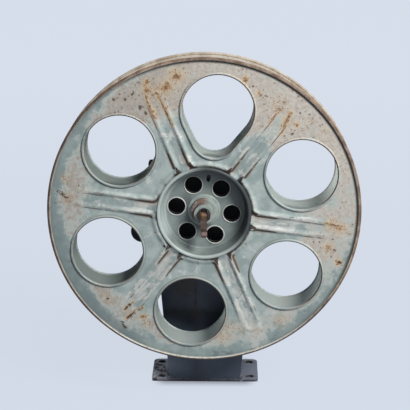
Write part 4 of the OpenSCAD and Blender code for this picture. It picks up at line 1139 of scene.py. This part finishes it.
def keep_attributes(mesh, rows):
    """Stores one number per vertex under each name."""
    for name in rows[0]:
        layer = mesh.attributes.new(name, "FLOAT", "POINT")
        layer.data.foreach_set("value", [row[name] for row in rows])


def smooth_out(mesh, crease):
    """Turns all faces outwards and smooths all but the creases."""
    work = bmesh.new()
    work.from_mesh(mesh)
    bmesh.ops.recalc_face_normals(work, faces=work.faces)
    work.to_mesh(mesh)
    work.free()
    mesh.polygons.foreach_set("use_smooth", [True] * len(mesh.polygons))
    mesh.set_sharp_from_angle(angle=math.radians(crease))


def new_piece(name, mesh, body, slot, *nodes):
    """Puts a finished mesh in the scene as a piece that rides on a body."""
    piece = bpy.data.objects.new(name, mesh)
    scene.collection.objects.link(piece)
    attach(piece, body)
    if nodes:
        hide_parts(*nodes)
    return piece


def drop_loose(mesh):
    """Takes out the points that no face uses."""
    work = bmesh.new()
    work.from_mesh(mesh)
    bmesh.ops.delete(work, geom=[vert for vert in work.verts if not vert.link_faces], context="VERTS")
    work.to_mesh(mesh)
    work.free()


def flange_sheet(name, side, seed, paint):
    """The pressed sheet of a flange as one closed solid."""
    flat, _, triangles, _, _, _ = delaunay_2d_cdt([Vector(p) for p in sheet_points()], [], [], 0, 1e-4)
    inside = []
    for corners in triangles:
        u = sum(flat[i][0] for i in corners) / 3
        v = sum(flat[i][1] for i in corners) / 3
        if HUB_OPEN < math.hypot(u, v) < RIM_PATH and lip_gap(u, v) > 0:
            inside.append(tuple(corners))
    count = len(flat)
    outer, inner, rows = [], [], []
    for u, v in flat:
        height = pressed(u, v) + knocks(u, v, seed)
        outer.append(reel_place(u, v, SHEET + height, side))
        inner.append(reel_place(u, v, height, side))
        rows.append(edge_distances(u, v))
    edges = {pair: True for a, b, c in inside for pair in ((a, b), (b, c), (c, a))}
    walls = [(a, b, b + count, a + count) for a, b in edges if (b, a) not in edges]
    backs = [(c + count, b + count, a + count) for a, b, c in inside]
    mesh = bpy.data.meshes.new(name)
    mesh.from_pydata(outer + inner, [], inside + backs + walls)
    keep_attributes(mesh, [dict(row, inner=face) for face in (0.0, 1.0) for row in rows])
    drop_loose(mesh)
    smooth_out(mesh, 50)
    mesh.materials.append(paint)
    return mesh


# Pieces grown by geometry trees


def geometry_tree(name, inputs):
    """A new geometry tree, with its net, its inputs and the socket of the finished geometry."""
    tree = bpy.data.node_groups.new(name, "GeometryNodeTree")
    tree.interface.new_socket("Geometry", in_out="INPUT", socket_type="NodeSocketGeometry")
    for label, kind in inputs:
        tree.interface.new_socket(label, in_out="INPUT", socket_type=kind)
    tree.interface.new_socket("Geometry", in_out="OUTPUT", socket_type="NodeSocketGeometry")
    net = Net(tree)
    return tree, net, net.node("NodeGroupInput").outputs, net.node("NodeGroupOutput").inputs[0]


def closing_nodes(net, geometry, material, result):
    """Every tree ends in plain smooth geometry with its material."""
    real = net.node("GeometryNodeRealizeInstances", {0: geometry}).outputs[0]
    smooth = net.node("GeometryNodeSetShadeSmooth", {0: real}).outputs[0]
    painted = net.node("GeometryNodeSetMaterial", {"Geometry": smooth, "Material": material})
    net.feed(result, painted.outputs[0])


def rolled_edge_tree():
    """A round roll along every line of the base mesh."""
    inputs = [("Roll", FLOAT), ("Sides", WHOLE), ("Material", MATERIAL)]
    tree, net, given, result = geometry_tree("Rolled edge", inputs)
    path = net.node("GeometryNodeMeshToCurve", {"Mesh": given["Geometry"]}).outputs[0]
    circle = {"Resolution": given["Sides"], "Radius": given["Roll"]}
    section = net.node("GeometryNodeCurvePrimitiveCircle", circle).outputs[0]
    roll = net.node("GeometryNodeCurveToMesh", {"Curve": path, "Profile Curve": section}).outputs[0]
    closing_nodes(net, roll, given["Material"], result)
    return tree


def weld_tree():
    """Overlapping ripples of weld metal along every line of the base mesh."""
    inputs = [("Pitch", FLOAT), ("Ripple", FLOAT), ("Seed", WHOLE), ("Material", MATERIAL)]
    tree, net, given, result = geometry_tree("Weld ripples", inputs)
    path = net.node("GeometryNodeMeshToCurve", {"Mesh": given["Geometry"]}).outputs[0]
    spaced = net.node("GeometryNodeCurveToPoints", {"Curve": path, "Length": given["Pitch"]}, mode="LENGTH")
    ball = {"Segments": 10, "Rings": 6, "Radius": given["Ripple"]}
    drop = net.node("GeometryNodeMeshUVSphere", ball).outputs[0]
    vary = {"Min": (0.8, 0.55, 0.8), "Max": (1.12, 0.75, 1.1), "Seed": given["Seed"]}
    size = net.node("FunctionNodeRandomValue", vary, data_type="FLOAT_VECTOR").outputs[0]
    laid = {"Points": spaced.outputs[0], "Instance": drop, "Scale": size}
    ripples = net.node("GeometryNodeInstanceOnPoints", laid).outputs[0]
    closing_nodes(net, ripples, given["Material"], result)
    return tree


def grown(name, base, tree, values):
    """The plain mesh that a geometry tree makes of a base mesh."""
    source = bpy.data.objects.new(name, base)
    scene.collection.objects.link(source)
    grower = source.modifiers.new("grow", "NODES")
    grower.node_group = tree
    for item in tree.interface.items_tree:
        if item.in_out == "INPUT" and item.name in values:
            grower[item.identifier] = values[item.name]
    view = bpy.context.evaluated_depsgraph_get()
    mesh = bpy.data.meshes.new_from_object(source.evaluated_get(view))
    mesh.name = name
    bpy.data.objects.remove(source)
    smooth_out(mesh, 60)
    return mesh


def line_mesh(name, loops, closed):
    """A base mesh of lines through points."""
    points = [p for loop in loops for p in loop]
    edges, start = [], 0
    for loop in loops:
        count = len(loop)
        edges += [(start + i, start + (i + 1) % count) for i in range(count if closed else count - 1)]
        start += count
    mesh = bpy.data.meshes.new(name)
    mesh.from_pydata(points, edges, [])
    return mesh


ROLLED_EDGE = rolled_edge_tree()
WELD = weld_tree()


def rolled(name, loops, roll, sides, paint):
    """A round roll along closed loops."""
    values = {"Roll": roll * MM, "Sides": sides, "Material": paint}
    return grown(name, line_mesh(name, loops, True), ROLLED_EDGE, values)


def rolled_edges(name, flat_loops, roll, rise, side, seed, paint):
    """A wired rim or the rolled lips of the holes, along loops on a flange."""
    loops = [[reel_place(u, v, rise + knocks(u, v, seed), side) for u, v in loop] for loop in flat_loops]
    mesh = rolled(name, loops, roll, 14, paint)
    rows = []
    for vertex in mesh.vertices:
        # lee here is how far the roll faces away from the key lamp, for painted shade
        lee = -vertex.normal.dot(LIGHT_SIDE)
        rows.append(dict(edge_distances(*on_flange(vertex.co)), bead_gap=20.0, lee=lee, inner=0.0))
    keep_attributes(mesh, rows)
    return mesh


# Making the pieces

finishes = {
    "reel_paint": hub_paint(),
    "worn_steel": worn_steel(),
    "stand_paint": stand_paint(),
    "gear_steel": gear_steel(),
    "bush_bronze": bush_bronze(),
    "crank_paint": crank_paint(),
    "grip_wood": grip_wood(),
}
finishes["hub_paint"] = finishes["reel_paint"]
for subpart in frame["record"]["subparts"]:
    node = frame["nodes"][subpart["node"]]
    node.data.materials.clear()
    node.data.materials.append(finishes[subpart["material_slot"]])

# Finishes of their own on the bosses, the plate behind the reel, and the spindle
own_finishes = (
    (boss_paint(), ("front_boss", "rear_boss", "hub_sleeve")),
    (painted_shade_plate(), ("drive_plate",)),
    (oily_steel(), ("spindle", "drive_dog")),
)
for finish, names in own_finishes:
    for name in names:
        frame["nodes"][name].material_slots[0].material = finish

flange_paint = reel_paint()
rim_loop = [circle_line((0, 0), RIM_PATH, ROLL_STEP)]
hole_loops = [circle_line(hole, HOLE_PATH, LIP_STEP) for hole in round_holes()] + [tear_line(0.0, LIP_STEP)]
for name, side, seed in (("front", -1, 0.7), ("rear", 1, 2.6)):
    node = name + "_flange"
    sheet_name, rim_name, lips_name = name + "_sheet", name + "_wired_rim", name + "_rolled_lips"
    new_piece(sheet_name, flange_sheet(sheet_name, side, seed, flange_paint), "reel", "reel_paint", node)
    rim_mesh = rolled_edges(rim_name, rim_loop, ROLL, ROLL_RISE, side, seed, flange_paint)
    new_piece(rim_name, rim_mesh, "reel", "reel_paint", node)
    lips_mesh = rolled_edges(lips_name, hole_loops, LIP_ROLL, LIP_RISE, side, seed, flange_paint)
    new_piece(lips_name, lips_mesh, "reel", "reel_paint", node)

# Rolled mouths of the hub cups and the small lips of their holes
CUP_DEPTH = 16.5
CUP_MOUTH = 55.4
MOUTH_RISE = 1.9
MOUTH_ROLL = 2.2
WEB_PITCH = 34.15
WEB_HOLE = 11.3
WEB_ROLL = 0.7
WEB_LIFT = 0.1
lip_highlight_finish = pale_lip_highlight()
web_turns = [i * SPOKE_STEP for i in range(SPOKES)]
web_middles = [(WEB_PITCH * math.cos(a), WEB_PITCH * math.sin(a)) for a in web_turns]
web_rings = [circle_line(middle, WEB_HOLE, 1.4) for middle in web_middles]
mouth_ring = circle_line((0, 0), CUP_MOUTH, 2.4)
for name, side in (("front", -1), ("rear", 1)):
    floor_w = SHEET - CUP_DEPTH + WEB_LIFT
    lip_name, mouth_name = name + "_hole_lips", name + "_cup_mouth"
    loops = [[reel_place(u, v, floor_w, side) for u, v in ring] for ring in web_rings]
    new_piece(lip_name, rolled(lip_name, loops, WEB_ROLL, 10, lip_highlight_finish), "reel", "hub_paint")
    loops = [[reel_place(u, v, MOUTH_RISE, side) for u, v in mouth_ring]]
    mouth = rolled(mouth_name, loops, MOUTH_ROLL, 16, finishes["hub_paint"])
    new_piece(mouth_name, mouth, "reel", "hub_paint")

# Weld ripples along both feet of the pedestal
FOOT_HALF = 46.5
WELD_OUT = 1.6
WELD_INSET = 2.0
WELD_PITCH = 2.6
WELD_RIPPLE = 2.5
foot_low, foot_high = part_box("pedestal")
weld_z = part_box("base_plate")[1].z + WELD_OUT * MM
weld_ends = (foot_low.y + WELD_INSET * MM, foot_high.y - WELD_INSET * MM)
weld_runs = [[Vector((side * (FOOT_HALF + WELD_OUT) * MM, y, weld_z)) for y in weld_ends] for side in (-1, 1)]
weld_values = {"Pitch": WELD_PITCH * MM, "Ripple": WELD_RIPPLE * MM, "Seed": 4}
weld_values["Material"] = finishes["stand_paint"]
weld_mesh = grown("foot_welds", line_mesh("foot_welds", weld_runs, False), WELD, weld_values)
new_piece("foot_welds", weld_mesh, "stand", "stand_paint")

# Floor, light and camera, with places in metres

FLOOR_HALF = 9.0
FLOOR = srgb(150, 156, 166)
FLOOR_SHADE = srgb(132, 133, 146)
NEAR_BACKDROP = srgb(217, 225, 238)
BACKDROP = srgb(224, 232, 245)
ROOM = srgb(232, 238, 250)
KEY_PLACE = (1.3, -1.54, 1.94)
KEY_SIZE = 0.9
KEY_POWER = 95
CAMERA_PLACE = (0.0259, -1.5191, 0.6512)
CAMERA_YAW = math.radians(-0.992)
CAMERA_PITCH = math.radians(15.438)
CAMERA_LENS = 106.98
CAMERA_SENSOR = 36


def seen_rays(net):
    """1 where a surface itself is seen, straight or in a reflection, 0 where it only lights the object."""
    rays = net.node("ShaderNodeLightPath").outputs
    return net.most(rays["Is Camera Ray"], rays["Is Glossy Ray"], rays["Is Transmission Ray"])


def floor_finish():
    """A pale matt floor that the camera sees as an even backdrop, with a soft shade before the base."""
    made, net, shader = finish_material("floor")
    net.feed(shader.inputs["Base Color"], FLOOR)
    net.feed(shader.inputs["Roughness"], 0.9)
    net.feed(shader.inputs["Specular IOR Level"], 0.1)
    x, y, _ = net.parts(net.place())
    tone = net.mix(net.fade(y, -0.5, 2.5), NEAR_BACKDROP, BACKDROP)
    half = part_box("base_plate")[1]
    aside, ahead = net.size(x), net.size(y)
    before = net.fade(ahead, half.y + 20 * MM, half.y - 4 * MM)
    shade = net.times(before, net.fade(aside, half.x, half.x - 20 * MM), 0.85)
    tone = net.mix(shade, tone, FLOOR_SHADE)
    glow = net.node("ShaderNodeEmission", {"Color": tone, "Strength": 1.0})
    beside = net.fade(net.most(net.minus(aside, half.x), net.minus(ahead, half.y)), -1 * MM, 0.0)
    share = net.times(seen_rays(net), beside, 0.9)
    mixed = net.node("ShaderNodeMixShader", {0: share, 1: shader.outputs[0], 2: glow.outputs[0]})
    output = next(node for node in made.node_tree.nodes if node.type == "OUTPUT_MATERIAL")
    net.feed(output.inputs["Surface"], mixed.outputs[0])
    return made


def make_floor():
    """A wide square on the ground."""
    corners = [(x * FLOOR_HALF, y * FLOOR_HALF, 0) for x, y in ((-1, -1), (1, -1), (1, 1), (-1, 1))]
    mesh = bpy.data.meshes.new("floor")
    mesh.from_pydata(corners, [], [(0, 1, 2, 3)])
    mesh.materials.append(floor_finish())
    floor = bpy.data.objects.new("floor", mesh)
    scene.collection.objects.link(floor)


def make_world():
    """A dim room that lights the object, and the backdrop that the camera sees."""
    world = bpy.data.worlds.new("studio")
    world.use_nodes = True
    world.node_tree.nodes.clear()
    net = Net(world.node_tree)
    room = net.node("ShaderNodeBackground", {"Color": ROOM, "Strength": 0.07})
    backdrop = net.node("ShaderNodeBackground", {"Color": BACKDROP, "Strength": 1.0})
    mixed = net.node("ShaderNodeMixShader", {0: seen_rays(net), 1: room.outputs[0], 2: backdrop.outputs[0]})
    net.node("ShaderNodeOutputWorld", {"Surface": mixed.outputs[0]})
    scene.world = world


def soft_box(name, place, aim, size, power):
    """A square soft lamp that faces a point."""
    lamp = bpy.data.lights.new(name, "AREA")
    lamp.shape = "SQUARE"
    lamp.size = size
    lamp.energy = power
    holder = bpy.data.objects.new(name, lamp)
    holder.location = place
    holder.rotation_euler = (Vector(aim) - Vector(place)).to_track_quat("-Z", "Y").to_euler()
    scene.collection.objects.link(holder)


def make_camera():
    """The camera where the photograph was taken, found from the rims, the holes and the base."""
    level = math.cos(CAMERA_PITCH)
    ahead = Vector((math.sin(CAMERA_YAW) * level, math.cos(CAMERA_YAW) * level, -math.sin(CAMERA_PITCH)))
    right = Vector((math.cos(CAMERA_YAW), -math.sin(CAMERA_YAW), 0))
    axes = Matrix((right, right.cross(ahead), -ahead)).transposed()
    lens = bpy.data.cameras.new("camera")
    lens.sensor_width = CAMERA_SENSOR
    lens.lens = CAMERA_LENS
    camera = bpy.data.objects.new("camera", lens)
    camera.matrix_world = Matrix.Translation(CAMERA_PLACE) @ axes.to_4x4()
    scene.collection.objects.link(camera)
    scene.camera = camera


make_floor()
make_world()
soft_box("key", KEY_PLACE, REEL_MIDDLE, KEY_SIZE, KEY_POWER)
make_camera()
